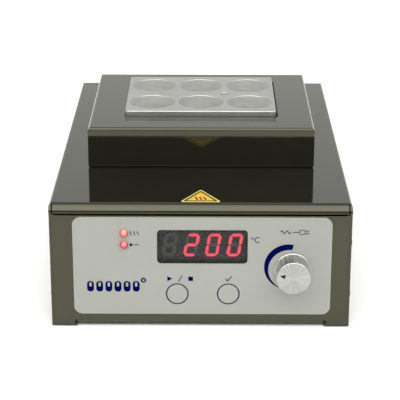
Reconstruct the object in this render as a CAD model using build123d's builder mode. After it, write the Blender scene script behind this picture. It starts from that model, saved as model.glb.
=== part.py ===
from build123d import *
import os
from math import cos, radians, sin, sqrt, tan

# Dry block heater: a folded steel tray closed by a folded lid, a raised tower round a heated well,
# a lift-out aluminium tube block, a front control panel and a rear mains panel.
# Millimetres, +Z up, the front faces -Y. The origin lies on the plane the heater stands on, at the
# centre of the rectangle that the whole heater covers, knob and mains inlet included.

# ---------------------------------------------------------------- driving dimensions
sheet = 1.5
lid_width = 176.9
lid_depth = 260.0
lid_top = 77.4
lid_bottom = 0.5
side_bend = 1.8
lip_bend = 5.4
back_bend = 1.8
lip_bottom = 72.3
lip_seam = 0.7

knob_reach = 12.8
rear_reach = 3.2
face_setback = 1.2
overall_depth = knob_reach + lid_depth + rear_reach
lid_front = knob_reach - overall_depth / 2
lid_back = lid_front + lid_depth
face_front = lid_front + face_setback
face_back = lid_back - face_setback
wall_inside = lid_width / 2 - sheet

foot_height = 2.0
face_half_width = wall_inside - 0.08
face_top = 71.0
face_bend = 1.6
face_flange = 14.0
plate_half_width = 73.6
notch_depth = 5.0
notch_height = 2.6
relief_radius = 1.3
ear_top = 5.5
side_tab_depth = 24.0
side_tab_low = 8.0
side_tab_height = 50.0
floor_top = foot_height + sheet

tower_half_width = 69.9
tower_depth = 124.1
tower_y = lid_front + 129.6
tower_top = 102.9
tower_bend = 1.8
tower_foot_bend = 1.4
tower_foot = lid_top + sheet

block_width = 95.0
block_depth = 79.4
block_height = 55.0
block_top = 106.45
block_x = -0.4
block_y = lid_front + 131.6
block_bottom = block_top - block_height
bore_radius = 14.45
bore_depth = 46.0
bore_pitch_x = 31.0
bore_pitch_y = 38.0
thermometer_radius = 3.25
thermometer_depth = 40.0

well_half_width = 48.5
well_half_depth = 40.5
well_wall = 3.0
well_floor = 12.0
well_floor_top = block_bottom - 0.1
well_bottom = well_floor_top - well_floor
well_top = 99.5
heater_level = well_floor_top - 6.0
core_half_width = 60.5
core_half_depth = 52.5

panel_x = 1.0
panel_z = 39.2
panel_width = 151.8
panel_height = 61.5
panel_corner = 5.0
panel_thick = 0.7
panel_front = face_front - panel_thick

window_x = 1.1
window_z = 51.5
window_width = 53.1
window_height = 21.1
window_corner = 2.4
digit_pitch = 12.7
digit_rise = 0.2
led_x = -44.7
hot_led_z = 59.9
run_led_z = 52.7
led_radius = 2.5
key_z = 21.5
start_key_x = -13.7
set_key_x = 16.5
key_radius = 6.0
key_gap = 0.2
knob_x = 54.2
knob_z = 37.0
knob_radius = 10.0
knob_serrations = 40
serration_depth = 0.8
serration_radius = 0.9
skirt_radius = 10.9
skirt_length = 1.2
pointer_angle = 167.0
pointer_tip = 8.3
pointer_base = 5.0
pointer_half_width = 1.5
pointer_depth = 0.3
shaft_radius = 3.0
standoff_length = 8.0
board_front = face_front + sheet + standoff_length
board_thick = 1.6
board_back = board_front + board_thick

inlet_x = 52.0
inlet_z = 39.0
switch_x = 4.0
switch_z = 39.0
screw_radius = 1.5
screw_clearance = 1.7
thread_gap = 0.03

os.makedirs("parts", exist_ok=True)


# ---------------------------------------------------------------- helpers
def front_plane(y):
    """Plane at depth y whose normal points to the front: local x is X, local y is Z."""
    return Plane((0, y, 0), x_dir=(1, 0, 0), z_dir=(0, -1, 0))


def back_plane(y):
    """Plane at depth y whose normal points to the back: local x is -X, local y is Z."""
    return Plane((0, y, 0), x_dir=(-1, 0, 0), z_dir=(0, 1, 0))


def side_plane(x):
    """Plane at width x whose normal points to +X: local x is Y, local y is Z."""
    return Plane.YZ.offset(x)


def save(piece, name):
    """Label a finished piece and write its own STEP file."""
    piece.label = name
    export_step(piece, f"parts/{name}.step")


def folded_box(half_width, front, back, bottom, top, side_radius, front_radius, back_radius):
    """Box whose four top edges are rounded as sheet bends."""
    with BuildPart() as box:
        with BuildSketch(front_plane(front)) as across:
            with Locations((0, (bottom + top) / 2)):
                Rectangle(2 * half_width, top - bottom)
            fillet(across.vertices().group_by(Axis.Y)[-1], side_radius)
        extrude(amount=front - back)
        with BuildSketch(side_plane(-half_width)) as along:
            with Locations(((front + back) / 2, (bottom + top) / 2)):
                Rectangle(back - front, top - bottom)
            fillet(along.vertices().group_by(Axis.Y)[-1].sort_by(Axis.X)[0], front_radius)
            fillet(along.vertices().group_by(Axis.Y)[-1].sort_by(Axis.X)[-1], back_radius)
        extrude(amount=2 * half_width, mode=Mode.INTERSECT)
    return box.part


def button_screw(length, thread_radius=screw_radius, head_radius=2.8, head_height=1.8):
    """Button-head screw with a hex socket: the head stands on z = 0 and the thread hangs below."""
    with BuildPart() as screw:
        with BuildSketch():
            Circle(head_radius)
        extrude(amount=head_height)
        fillet(screw.edges().group_by(Axis.Z)[-1], 0.6 * head_height)
        with BuildSketch(Plane.XY.offset(head_height)):
            RegularPolygon(radius=0.4 * head_radius, side_count=6)
        extrude(amount=-0.6 * head_height, mode=Mode.SUBTRACT)
        with BuildSketch():
            Circle(thread_radius)
        extrude(amount=-length)
    return screw.part


def hex_standoff(length, across_flats=5.0, hole_radius=screw_radius + thread_gap):
    """Hexagonal standoff with a hole right through, standing on z = 0."""
    with BuildPart() as standoff:
        with BuildSketch():
            RegularPolygon(radius=across_flats / 2, side_count=6, major_radius=False)
            Circle(hole_radius, mode=Mode.SUBTRACT)
        extrude(amount=length)
    return standoff.part


def tube(length, outer_radius, inner_radius):
    """Plain round spacer standing on z = 0."""
    with BuildPart() as spacer:
        with BuildSketch():
            Circle(outer_radius)
            Circle(inner_radius, mode=Mode.SUBTRACT)
        extrude(amount=length)
    return spacer.part


def save_copies(piece, places, name):
    """One node that holds the same piece at each place."""
    with BuildPart() as group:
        with Locations(*places):
            add(piece)
    save(group.part, name)


def seats(plane, points):
    """Planes parallel to the given one, with their origins at its local points."""
    origins = [plane.from_local_coords((x, y, 0)) for x, y in points]
    return [Plane(origin, x_dir=plane.x_dir, z_dir=plane.z_dir) for origin in origins]


def widest_bends(points):
    """For each corner of a route, the arc that uses 0.45 of the shorter of its two runs."""
    corners = [Vector(*point) for point in points]
    bends = []
    for before, corner, after in zip(corners, corners[1:], corners[2:]):
        turn = (corner - before).get_angle(after - corner)
        shorter = min((corner - before).length, (after - corner).length)
        bends.append(0.45 * shorter / tan(radians(turn / 2)))
    return bends


def lead(points, radius):
    """Insulated lead: straight runs joined by tangent arcs."""
    with BuildPart() as wire:
        with BuildLine() as route:
            FilletPolyline(*points, radius=widest_bends(points))
        with BuildSketch(Plane(route.line @ 0, z_dir=route.line % 0)):
            Circle(radius)
        sweep()
    return wire.part


# ---------------------------------------------------------------- chassis tray
side_screw_points = [
    (y, z) for y in (lid_front + 18, lid_back - 18) for z in (15.0, 48.0)
]
board_corners = [(x, z) for x in (-68.0, 68.0) for z in (13.0, 62.0)]
rear_screw_points = [(-inlet_x - 20, inlet_z + 4), (-inlet_x + 20, inlet_z + 4)]
well_bolt_points = [(x, block_y + y) for x in (-42.0, 42.0) for y in (-34.0, 34.0)]
power_board_corners = [(x, y) for x in (-66.0, 20.0) for y in (74.0, 122.0)]
feet_points = [(x, y) for x in (-66.0, 66.0) for y in (lid_front + 22, lid_back - 22)]
earth_point = (66.0, 96.0)
stud_foot = 2.4

inlet_half_width = 14.0
inlet_low = inlet_z - 15.5
inlet_high = inlet_z + 15.5
switch_half_width = 11.0
switch_half_height = 14.9

with BuildPart() as chassis_tray:
    # Floor, front face, rear face and the flanges at the faces' tops, as one folded strip.
    with BuildSketch(side_plane(-face_half_width)):
        with Locations(((face_front + face_back) / 2, (foot_height + face_top) / 2)):
            RectangleRounded(face_back - face_front, face_top - foot_height, face_bend)
            RectangleRounded(
                face_back - face_front - 2 * sheet,
                face_top - foot_height - 2 * sheet,
                face_bend - sheet,
                mode=Mode.SUBTRACT,
            )
        with Locations(((face_front + face_back) / 2, face_top)):
            Rectangle(face_back - face_front - 2 * face_flange, 2 * sheet + 2, mode=Mode.SUBTRACT)
    extrude(amount=2 * face_half_width)
    # The floor stops short of the four corners, where ears of the faces reach straight down.
    with BuildSketch():
        for side in (-1, 1):
            for edge in (face_front + notch_depth / 2, face_back - notch_depth / 2):
                with Locations((side * (plate_half_width + 10), edge)):
                    Rectangle(20, notch_depth)
    extrude(amount=foot_height + notch_height, mode=Mode.SUBTRACT)
    for face in (face_front, face_back - sheet):
        with BuildSketch(front_plane(face)):
            for side in (-1, 1):
                with Locations((side * (plate_half_width + face_half_width) / 2, (lid_bottom + ear_top) / 2)):
                    Rectangle(face_half_width - plate_half_width, ear_top - lid_bottom)
        extrude(amount=-sheet)
        with BuildSketch(front_plane(face)):
            for side in (-1, 1):
                with Locations((side * plate_half_width, foot_height + 1.0)):
                    Circle(relief_radius)
        extrude(amount=-sheet, mode=Mode.SUBTRACT)
    # Side tabs behind both faces take the lid's side screws.
    for start in (face_front + sheet, face_back - sheet - side_tab_depth):
        with BuildSketch(Plane.XY.offset(side_tab_low)):
            for side in (-1, 1):
                with Locations((side * (face_half_width - sheet / 2), start + side_tab_depth / 2)):
                    Rectangle(sheet, side_tab_depth)
        extrude(amount=side_tab_height)
    with BuildSketch(side_plane(-face_half_width)):
        with Locations(*side_screw_points):
            Circle(screw_radius + thread_gap)
    extrude(amount=2 * face_half_width, mode=Mode.SUBTRACT)
    # Openings of the front face: window, lamps, keys and potentiometer bush.
    with BuildSketch(front_plane(face_front)):
        with Locations((window_x, window_z)):
            RectangleRounded(window_width + 0.6, window_height + 0.6, window_corner + 0.3)
        with Locations((led_x, hot_led_z), (led_x, run_led_z)):
            Circle(led_radius + 0.1)
        with Locations((start_key_x, key_z), (set_key_x, key_z)):
            Circle(key_radius + key_gap)
        with Locations((knob_x, knob_z)):
            Circle(3.55)
    extrude(amount=-sheet, mode=Mode.SUBTRACT)
    # Openings of the rear face: mains inlet, its screws, mains switch and cooling slots.
    with BuildSketch(back_plane(face_back)):
        with Locations((-inlet_x, inlet_z)):
            Rectangle(2 * inlet_half_width + 0.4, inlet_high - inlet_low + 0.4)
        with Locations(*rear_screw_points):
            Circle(screw_clearance)
        with Locations((-switch_x, switch_z)):
            Rectangle(2 * switch_half_width + 0.4, 2 * switch_half_height + 0.4)
        with Locations((48.0, 40.0)):
            with GridLocations(7.0, 0, 7, 1):
                SlotOverall(30.0, 3.0, rotation=90)
    extrude(amount=-sheet, mode=Mode.SUBTRACT)
    # Openings of the floor: well bolts and two rows of cooling slots.
    with BuildSketch(Plane.XY.offset(foot_height)):
        with Locations(*well_bolt_points):
            Circle(2.2)
        with Locations((0, face_front + 38), (-23, 98)):
            with GridLocations(8.0, 0, 9, 1):
                SlotOverall(24.0, 3.0, rotation=90)
    extrude(amount=sheet, mode=Mode.SUBTRACT)
    # Earth stud welded to the floor: a hexagonal foot and its thread.
    with BuildSketch(Plane.XY.offset(floor_top)):
        with Locations(earth_point):
            RegularPolygon(radius=3.5, side_count=6, major_radius=False)
    extrude(amount=stud_foot)
    with BuildSketch(Plane.XY.offset(floor_top)):
        with Locations(earth_point):
            Circle(2.0)
    extrude(amount=13.0)
save(chassis_tray.part, "chassis_tray")

# ---------------------------------------------------------------- lid
tower_screw_points = [(x, block_y + y) for x in (-64.3, 64.3) for y in (-34.0, 34.0)]

with BuildPart() as top_cover:
    add(folded_box(lid_width / 2, lid_front, lid_back, lid_bottom, lid_top, side_bend, lip_bend, back_bend))
    add(
        folded_box(
            wall_inside,
            lid_front + sheet,
            lid_back - sheet,
            lid_bottom - 1,
            lid_top - sheet,
            side_bend - sheet,
            lip_bend - sheet,
            back_bend - sheet,
        ),
        mode=Mode.SUBTRACT,
    )
    # Below the rolled lips both ends are open between the side walls.
    with BuildSketch(front_plane(lid_front)):
        with Locations((0, lip_bottom / 2)):
            Rectangle(2 * wall_inside, lip_bottom)
    extrude(amount=-lid_depth, mode=Mode.SUBTRACT)
    # Down there the end edges of the side walls lie flush with the tray's faces.
    for start in (lid_front, face_back):
        with BuildSketch(front_plane(start)):
            with Locations((0, lip_bottom / 2)):
                Rectangle(lid_width + 2, lip_bottom)
        extrude(amount=-face_setback, mode=Mode.SUBTRACT)
    # A narrow seam parts the ends of each lip from the side walls.
    for start, bend in ((lid_front, lip_bend), (lid_back - back_bend, back_bend)):
        with BuildSketch(front_plane(start)):
            for side in (-1, 1):
                with Locations((side * (wall_inside - lip_seam / 2), lid_top - lip_bend / 2)):
                    Rectangle(lip_seam, lip_bend + 2)
        extrude(amount=-bend, mode=Mode.SUBTRACT)
    with BuildSketch(Plane.XY.offset(lid_top)):
        with Locations((0, block_y)):
            RectangleRounded(2 * core_half_width, 2 * core_half_depth, 3.0)
        with Locations(*tower_screw_points):
            Circle(screw_clearance)
    extrude(amount=-2 * sheet, mode=Mode.SUBTRACT)
    with BuildSketch(side_plane(-lid_width / 2)):
        with Locations(*side_screw_points):
            Circle(screw_clearance)
    extrude(amount=lid_width, mode=Mode.SUBTRACT)
save(top_cover.part, "top_cover")

# ---------------------------------------------------------------- tower
tower_front = tower_y - tower_depth / 2
tower_back = tower_y + tower_depth / 2

with BuildPart() as tower_cover:
    add(
        folded_box(
            tower_half_width,
            tower_front,
            tower_back,
            lid_top,
            tower_top,
            tower_bend,
            tower_bend,
            tower_bend,
        )
    )
    fillet(tower_cover.edges().group_by(Axis.Z)[0], tower_foot_bend)
    add(
        folded_box(
            tower_half_width - sheet,
            tower_front + sheet,
            tower_back - sheet,
            tower_foot,
            tower_top - sheet,
            tower_bend - sheet,
            tower_bend - sheet,
            tower_bend - sheet,
        ),
        mode=Mode.SUBTRACT,
    )
    # The foot flange turns inwards round the core; the roof opening follows the well.
    with BuildSketch(Plane.XY.offset(lid_top)):
        with Locations((0, block_y)):
            RectangleRounded(2 * core_half_width, 2 * core_half_depth, 3.0)
        with Locations(*tower_screw_points):
            Circle(screw_radius + thread_gap)
    extrude(amount=sheet, mode=Mode.SUBTRACT)
    with BuildSketch(Plane.XY.offset(tower_top)):
        with Locations((0, block_y)):
            RectangleRounded(2 * well_half_width, 2 * well_half_depth, 2.5)
    extrude(amount=-2 * sheet, mode=Mode.SUBTRACT)
save(tower_cover.part, "tower_cover")

# ---------------------------------------------------------------- housing screws and feet
right_seats = seats(side_plane(lid_width / 2), side_screw_points)
left_seats = [
    Plane((-lid_width / 2, y, z), x_dir=(0, -1, 0), z_dir=(-1, 0, 0)) for y, z in side_screw_points
]
lid_underside = Plane((0, 0, lid_top - sheet), x_dir=(1, 0, 0), z_dir=(0, 0, -1))
tower_seats = seats(lid_underside, [(x, -y) for x, y in tower_screw_points])
save_copies(button_screw(2.9), right_seats + left_seats + tower_seats, "housing_screws")

with BuildPart() as foot:
    with BuildSketch():
        Circle(7.0)
    extrude(amount=foot_height, taper=-12)
save_copies(foot.part, [(x, y, 0) for x, y in feet_points], "rubber_feet")

# ---------------------------------------------------------------- heat marker on the lid
marker_side = 24.2
with BuildPart() as heat_marker:
    with BuildSketch(Plane.XY.offset(lid_top)) as sticker:
        with Locations((0, lid_front + 6.2 + marker_side * sqrt(3) / 6)):
            RegularPolygon(radius=marker_side / sqrt(3), side_count=3, rotation=90)
        fillet(sticker.vertices(), 1.0)
    extrude(amount=0.15)
save(heat_marker.part, "heat_marker")

# ---------------------------------------------------------------- front overlay and window
with BuildPart() as front_overlay:
    with BuildSketch(front_plane(face_front)):
        with Locations((panel_x, panel_z)):
            RectangleRounded(panel_width, panel_height, panel_corner)
        with Locations((window_x, window_z)):
            RectangleRounded(window_width, window_height, window_corner, mode=Mode.SUBTRACT)
        with Locations((led_x, hot_led_z), (led_x, run_led_z)):
            Circle(led_radius + 0.1, mode=Mode.SUBTRACT)
        with Locations((start_key_x, key_z), (set_key_x, key_z)):
            Circle(key_radius + key_gap, mode=Mode.SUBTRACT)
        with Locations((knob_x, knob_z)):
            Circle(7.0, mode=Mode.SUBTRACT)
    extrude(amount=panel_thick)
save(front_overlay.part, "front_overlay")

module_front = face_front + sheet + 0.2
with BuildPart() as display_window:
    with BuildSketch(front_plane(panel_front + 0.1)):
        with Locations((window_x, window_z)):
            RectangleRounded(window_width - 0.1, window_height - 0.1, window_corner - 0.05)
    extrude(amount=-(module_front - panel_front - 0.15))
save(display_window.part, "display_window")

with BuildPart() as led_display:
    with BuildSketch(front_plane(module_front)):
        with Locations((window_x, window_z)):
            Rectangle(50.4, 19.0)
    extrude(amount=-(board_front - module_front))
    # Four leaning digit windows and their decimal points, sunk into the module's face.
    with BuildSketch(front_plane(module_front)):
        with Locations((window_x, window_z + digit_rise)):
            with GridLocations(digit_pitch, 0, 4, 1):
                Polygon((-5.9, -7.5), (3.3, -7.5), (5.9, 7.5), (-3.3, 7.5))
                with Locations((4.5, -6.3)):
                    Circle(0.9)
    extrude(amount=-0.4, mode=Mode.SUBTRACT)
    # Two rows of pins through the control board.
    with BuildSketch(front_plane(board_front)):
        with Locations((window_x, window_z)):
            with GridLocations(2.54, 15.24, 12, 2):
                Rectangle(0.5, 0.5)
    extrude(amount=-board_thick - 1.5)
save(led_display.part, "led_display")

# ---------------------------------------------------------------- indicator lamps
led_reach = 2.4
for name, height in (("hot_led", hot_led_z), ("run_led", run_led_z)):
    with BuildPart() as lamp:
        with BuildSketch(front_plane(panel_front)):
            with Locations((led_x, height)):
                Circle(led_radius)
        extrude(amount=led_reach)
        fillet(lamp.edges().group_by(Axis.Y)[0], led_reach - 0.02)
        with BuildSketch(front_plane(panel_front)):
            with Locations((led_x, height)):
                Circle(led_radius)
        extrude(amount=-5.0)
        with BuildSketch(front_plane(panel_front + 5.0)):
            with Locations((led_x, height)):
                Circle(2.9)
        extrude(amount=-1.0)
        with BuildSketch(front_plane(panel_front + 6.0)):
            with Locations((led_x - 1.27, height), (led_x + 1.27, height)):
                Rectangle(0.5, 0.5)
        extrude(amount=-(board_back + 1.0 - panel_front - 6.0))
    save(lamp.part, name)

# ---------------------------------------------------------------- keys and their switches
key_flange_front = face_front + sheet + 0.15
switch_top = board_front - 3.5
plunger_front = switch_top - 1.0
for name, x in (("start_stop", start_key_x), ("set", set_key_x)):
    with BuildPart() as key:
        with BuildSketch(front_plane(panel_front)):
            with Locations((x, key_z)):
                Circle(key_radius)
        extrude(amount=-(key_flange_front - panel_front))
        with BuildSketch(front_plane(key_flange_front)):
            with Locations((x, key_z)):
                Circle(7.2)
        extrude(amount=-1.0)
        with BuildSketch(front_plane(key_flange_front + 1.0)):
            with Locations((x, key_z)):
                Circle(2.5)
        extrude(amount=-(plunger_front - key_flange_front - 1.0))
        fillet(key.edges().group_by(Axis.Y)[0], 0.2)
    save(key.part, f"{name}_button")
    with BuildPart() as plunger:
        with BuildSketch(front_plane(plunger_front)):
            with Locations((x, key_z)):
                Circle(1.6)
        extrude(amount=-1.8)
    save(plunger.part, f"{name}_plunger")

with BuildPart() as tact_switches:
    with BuildSketch(front_plane(switch_top)):
        with Locations((start_key_x, key_z), (set_key_x, key_z)):
            Rectangle(6.0, 6.0)
    extrude(amount=-3.5)
    with BuildSketch(front_plane(switch_top)):
        with Locations((start_key_x, key_z), (set_key_x, key_z)):
            Circle(1.7)
    extrude(amount=-1.6, mode=Mode.SUBTRACT)
    with BuildSketch(front_plane(board_front)):
        for x in (start_key_x, set_key_x):
            with Locations((x, key_z)):
                with GridLocations(5.0, 4.5, 2, 2):
                    Rectangle(0.7, 0.4)
    extrude(amount=-board_thick - 1.0)
save(tact_switches.part, "tact_switches")

# ---------------------------------------------------------------- knob and potentiometer
knob_front = lid_front - knob_reach
knob_back = panel_front - 0.25
hub_face = knob_back - 4.2
grub_y = (knob_front + hub_face) / 2
with BuildPart() as control_knob:
    # Smooth skirt at the base.
    with BuildSketch(front_plane(knob_back)):
        with Locations((knob_x, knob_z)):
            Circle(skirt_radius)
    extrude(amount=skirt_length)
    chamfer(control_knob.faces().sort_by(Axis.Y)[0].edges(), 0.5)
    # Serrated grip.
    with BuildSketch(front_plane(knob_back)):
        with Locations((knob_x, knob_z)):
            Circle(knob_radius)
            with PolarLocations(knob_radius - serration_depth + serration_radius, knob_serrations):
                RegularPolygon(radius=serration_radius, side_count=3, rotation=180, mode=Mode.SUBTRACT)
    extrude(amount=knob_back - knob_front)
    # A smooth band and a chamfer finish the front edge, and a pointer is sunk into the face.
    with BuildSketch(front_plane(knob_front + 0.7)):
        with Locations((knob_x, knob_z)):
            Circle(knob_radius)
    extrude(amount=0.7)
    chamfer(control_knob.faces().sort_by(Axis.Y)[0].outer_wire().edges(), 0.4)
    with BuildSketch(front_plane(knob_front)):
        with Locations(Location((knob_x, knob_z, 0), (0, 0, pointer_angle))):
            Polygon(
                (pointer_base, -pointer_half_width),
                (pointer_tip, 0),
                (pointer_base, pointer_half_width),
                align=None,
            )
    extrude(amount=-pointer_depth, mode=Mode.SUBTRACT)
    with BuildSketch(front_plane(knob_back)):
        with Locations((knob_x, knob_z)):
            Circle(7.6)
    extrude(amount=-(hub_face - knob_back), mode=Mode.SUBTRACT)
    with BuildSketch(front_plane(hub_face)):
        with Locations((knob_x, knob_z)):
            Circle(shaft_radius + thread_gap)
            with Locations((0, shaft_radius - 0.25)):
                Rectangle(2 * shaft_radius, 0.5, mode=Mode.SUBTRACT)
    extrude(amount=6.3, mode=Mode.SUBTRACT)
    with BuildSketch(Plane((knob_x, grub_y, knob_z), x_dir=(1, 0, 0), z_dir=(0, 0, -1))):
        Circle(screw_radius)
    extrude(amount=knob_radius + 1, mode=Mode.SUBTRACT)
save(control_knob.part, "control_knob")

grub_top = Plane((knob_x, grub_y, knob_z - shaft_radius - 0.05), x_dir=(1, 0, 0), z_dir=(0, 0, -1))
with BuildPart() as knob_grub_screw:
    with BuildSketch(grub_top):
        Circle(screw_radius - thread_gap)
    extrude(amount=5.5)
    with BuildSketch(grub_top.offset(5.5)):
        RegularPolygon(radius=0.8, side_count=6)
    extrude(amount=-2.0, mode=Mode.SUBTRACT)
save(knob_grub_screw.part, "knob_grub_screw")

bush_front = face_front - 3.8
with BuildPart() as potentiometer_shaft:
    with BuildSketch(front_plane(hub_face - 6.0)):
        with Locations((knob_x, knob_z)):
            Circle(shaft_radius)
    extrude(amount=-(face_front + sheet + 5.0 - hub_face + 6.0))
    # The flat for the knob.
    with BuildSketch(front_plane(hub_face - 6.0)):
        with Locations((knob_x, knob_z + shaft_radius - 0.25)):
            Rectangle(2 * shaft_radius, 0.55)
    extrude(amount=-6.0, mode=Mode.SUBTRACT)
save(potentiometer_shaft.part, "potentiometer_shaft")

with BuildPart() as potentiometer_body:
    with BuildSketch(front_plane(face_front + sheet)):
        with Locations((knob_x, knob_z)):
            Circle(8.5)
        with Locations((knob_x, knob_z - 8.5)):
            Rectangle(14.0, 7.0)
    extrude(amount=-(board_front - face_front - sheet))
    with BuildSketch(front_plane(face_front + sheet)):
        with Locations((knob_x, knob_z)):
            Circle(3.5)
    extrude(amount=face_front + sheet - bush_front)
    with BuildSketch(front_plane(bush_front)):
        with Locations((knob_x, knob_z)):
            Circle(shaft_radius + 0.05)
    extrude(amount=-(face_front + sheet + 5.4 - bush_front), mode=Mode.SUBTRACT)
    with BuildSketch(front_plane(board_front)):
        with Locations((knob_x, knob_z - 10.0)):
            with GridLocations(5.0, 0, 3, 1):
                Rectangle(1.0, 0.5)
    extrude(amount=-board_thick - 1.5)
save(potentiometer_body.part, "potentiometer_body")

with BuildPart() as potentiometer_washer:
    with BuildSketch(front_plane(face_front)):
        with Locations((knob_x, knob_z)):
            Circle(6.0)
            Circle(3.6, mode=Mode.SUBTRACT)
    extrude(amount=0.5)
save(potentiometer_washer.part, "potentiometer_washer")

with BuildPart() as potentiometer_nut:
    with BuildSketch(front_plane(face_front - 0.5)):
        with Locations((knob_x, knob_z)):
            RegularPolygon(radius=5.0, side_count=6, major_radius=False)
            Circle(3.5 + thread_gap, mode=Mode.SUBTRACT)
    extrude(amount=2.0)
save(potentiometer_nut.part, "potentiometer_nut")

# ---------------------------------------------------------------- control board
header_x = 8.0
header_z = 13.6
with BuildPart() as control_board:
    with BuildSketch(front_plane(board_front)):
        with Locations((0, 37.5)):
            RectangleRounded(148.0, 57.0, 2.0)
        with Locations(*board_corners):
            Circle(screw_clearance, mode=Mode.SUBTRACT)
        # Pin holes, a touch larger than the pins that pass them.
        with Locations((window_x, window_z)):
            with GridLocations(2.54, 15.24, 12, 2):
                Rectangle(0.7, 0.7, mode=Mode.SUBTRACT)
        with Locations((led_x, hot_led_z), (led_x, run_led_z)):
            with GridLocations(2.54, 0, 2, 1):
                Rectangle(0.7, 0.7, mode=Mode.SUBTRACT)
        for x in (start_key_x, set_key_x):
            with Locations((x, key_z)):
                with GridLocations(5.0, 4.5, 2, 2):
                    Rectangle(0.9, 0.6, mode=Mode.SUBTRACT)
        with Locations((knob_x, knob_z - 10.0)):
            with GridLocations(5.0, 0, 3, 1):
                Rectangle(1.2, 0.7, mode=Mode.SUBTRACT)
    extrude(amount=-board_thick)
save(control_board.part, "control_board")

power_low = floor_top + standoff_length
power_top = power_low + board_thick
control_standoffs = seats(back_plane(face_front + sheet), [(-x, z) for x, z in board_corners])
power_standoffs = seats(Plane.XY.offset(floor_top), power_board_corners)
save_copies(hex_standoff(standoff_length), control_standoffs + power_standoffs, "board_standoffs")
control_seats = seats(back_plane(board_back), [(-x, z) for x, z in board_corners])
power_seats = seats(Plane.XY.offset(power_top), power_board_corners)
save_copies(button_screw(6.5), control_seats + power_seats, "board_screws")

with BuildPart() as microcontroller:
    with BuildSketch(back_plane(board_back)):
        with Locations((30.0, 38.0)):
            Rectangle(14.0, 14.0)
    extrude(amount=1.6)
    with BuildSketch(back_plane(board_back)):
        with Locations((30.0, 38.0)):
            with GridLocations(1.0, 15.4, 12, 2):
                Rectangle(0.4, 1.6)
            with GridLocations(15.4, 1.0, 2, 12):
                Rectangle(1.6, 0.4)
    extrude(amount=0.4)
save(microcontroller.part, "microcontroller")

# ---------------------------------------------------------------- tube block
with BuildPart() as block_insert:
    with BuildSketch(Plane.XY.offset(block_bottom)):
        with Locations((block_x, block_y)):
            RectangleRounded(block_width, block_depth, 1.6)
    extrude(amount=block_height)
    chamfer(block_insert.faces().sort_by(Axis.Z)[-1].outer_wire().edges(), 0.25)
    chamfer(block_insert.faces().sort_by(Axis.Z)[0].outer_wire().edges(), 0.8)
    with Locations((block_x, block_y, block_top)):
        with GridLocations(bore_pitch_x, bore_pitch_y, 3, 2):
            Hole(bore_radius, bore_depth)
    with Locations((block_x + bore_pitch_x / 2, block_y, block_top)):
        Hole(thermometer_radius, thermometer_depth)
    mouths = block_insert.faces().sort_by(Axis.Z)[-1].inner_wires()
    chamfer([edge for mouth in mouths for edge in mouth.edges()], 0.2)
save(block_insert.part, "block_insert")

# ---------------------------------------------------------------- heated well
heater_points = [(block_y - 20.0, heater_level), (block_y + 20.0, heater_level)]
sensor_y = block_y
outer_half_width = well_half_width + well_wall
outer_half_depth = well_half_depth + well_wall
with BuildPart() as heater_well:
    with BuildSketch(Plane.XY.offset(well_bottom)):
        with Locations((0, block_y)):
            RectangleRounded(2 * outer_half_width, 2 * outer_half_depth, 4.0)
    extrude(amount=well_top - well_bottom)
    with BuildSketch(Plane.XY.offset(well_floor_top)):
        with Locations((0, block_y)):
            RectangleRounded(2 * well_half_width, 2 * well_half_depth, 1.5)
    extrude(amount=well_top - well_floor_top, mode=Mode.SUBTRACT)
    # Cross bores in the floor: two for the cartridge heaters, one for the probe.
    with BuildSketch(side_plane(-outer_half_width)):
        with Locations(*heater_points):
            Circle(5.05)
    extrude(amount=96.0, mode=Mode.SUBTRACT)
    with BuildSketch(side_plane(outer_half_width)):
        with Locations((sensor_y, heater_level)):
            Circle(2.05)
    extrude(amount=-46.0, mode=Mode.SUBTRACT)
    with BuildSketch(Plane.XY.offset(well_bottom)):
        with Locations(*well_bolt_points):
            Circle(2.0 + thread_gap)
    extrude(amount=9.0, mode=Mode.SUBTRACT)
    with BuildSketch(Plane.XY.offset(well_bottom)):
        with Locations((-12.0, sensor_y), (12.0, sensor_y)):
            Circle(1.25 + thread_gap)
    extrude(amount=3.5, mode=Mode.SUBTRACT)
save(heater_well.part, "heater_well")

heater_length = 94.0
heater_tail = 2.0
with BuildPart() as cartridge_heaters:
    with BuildSketch(side_plane(-outer_half_width - heater_tail)):
        with Locations(*heater_points):
            Circle(5.0)
    extrude(amount=heater_length + heater_tail)
save(cartridge_heaters.part, "cartridge_heaters")

probe_tip = outer_half_width - 45.0
with BuildPart() as temperature_probe:
    with BuildSketch(side_plane(probe_tip)):
        with Locations((sensor_y, heater_level)):
            Circle(2.0)
    extrude(amount=47.0)
    fillet(temperature_probe.edges().group_by(Axis.X)[0], 0.8)
save(temperature_probe.part, "temperature_probe")

wrap_bottom = 40.2
with BuildPart() as insulation_wrap:
    with BuildSketch(Plane.XY.offset(wrap_bottom)):
        with Locations((0, block_y)):
            RectangleRounded(2 * core_half_width - 1.2, 2 * core_half_depth - 1.2, 8.0)
            RectangleRounded(
                2 * outer_half_width + 0.4,
                2 * outer_half_depth + 0.4,
                4.2,
                mode=Mode.SUBTRACT,
            )
    extrude(amount=98.0 - wrap_bottom)
    # Passages for the heaters' tails and leads, and for the probe.
    with BuildSketch(side_plane(-core_half_width)):
        with Locations(*heater_points):
            Circle(5.6)
    extrude(amount=12.0, mode=Mode.SUBTRACT)
    with BuildSketch(side_plane(core_half_width)):
        with Locations((sensor_y, heater_level)):
            Circle(2.6)
    extrude(amount=-12.0, mode=Mode.SUBTRACT)
save(insulation_wrap.part, "insulation_wrap")

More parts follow.
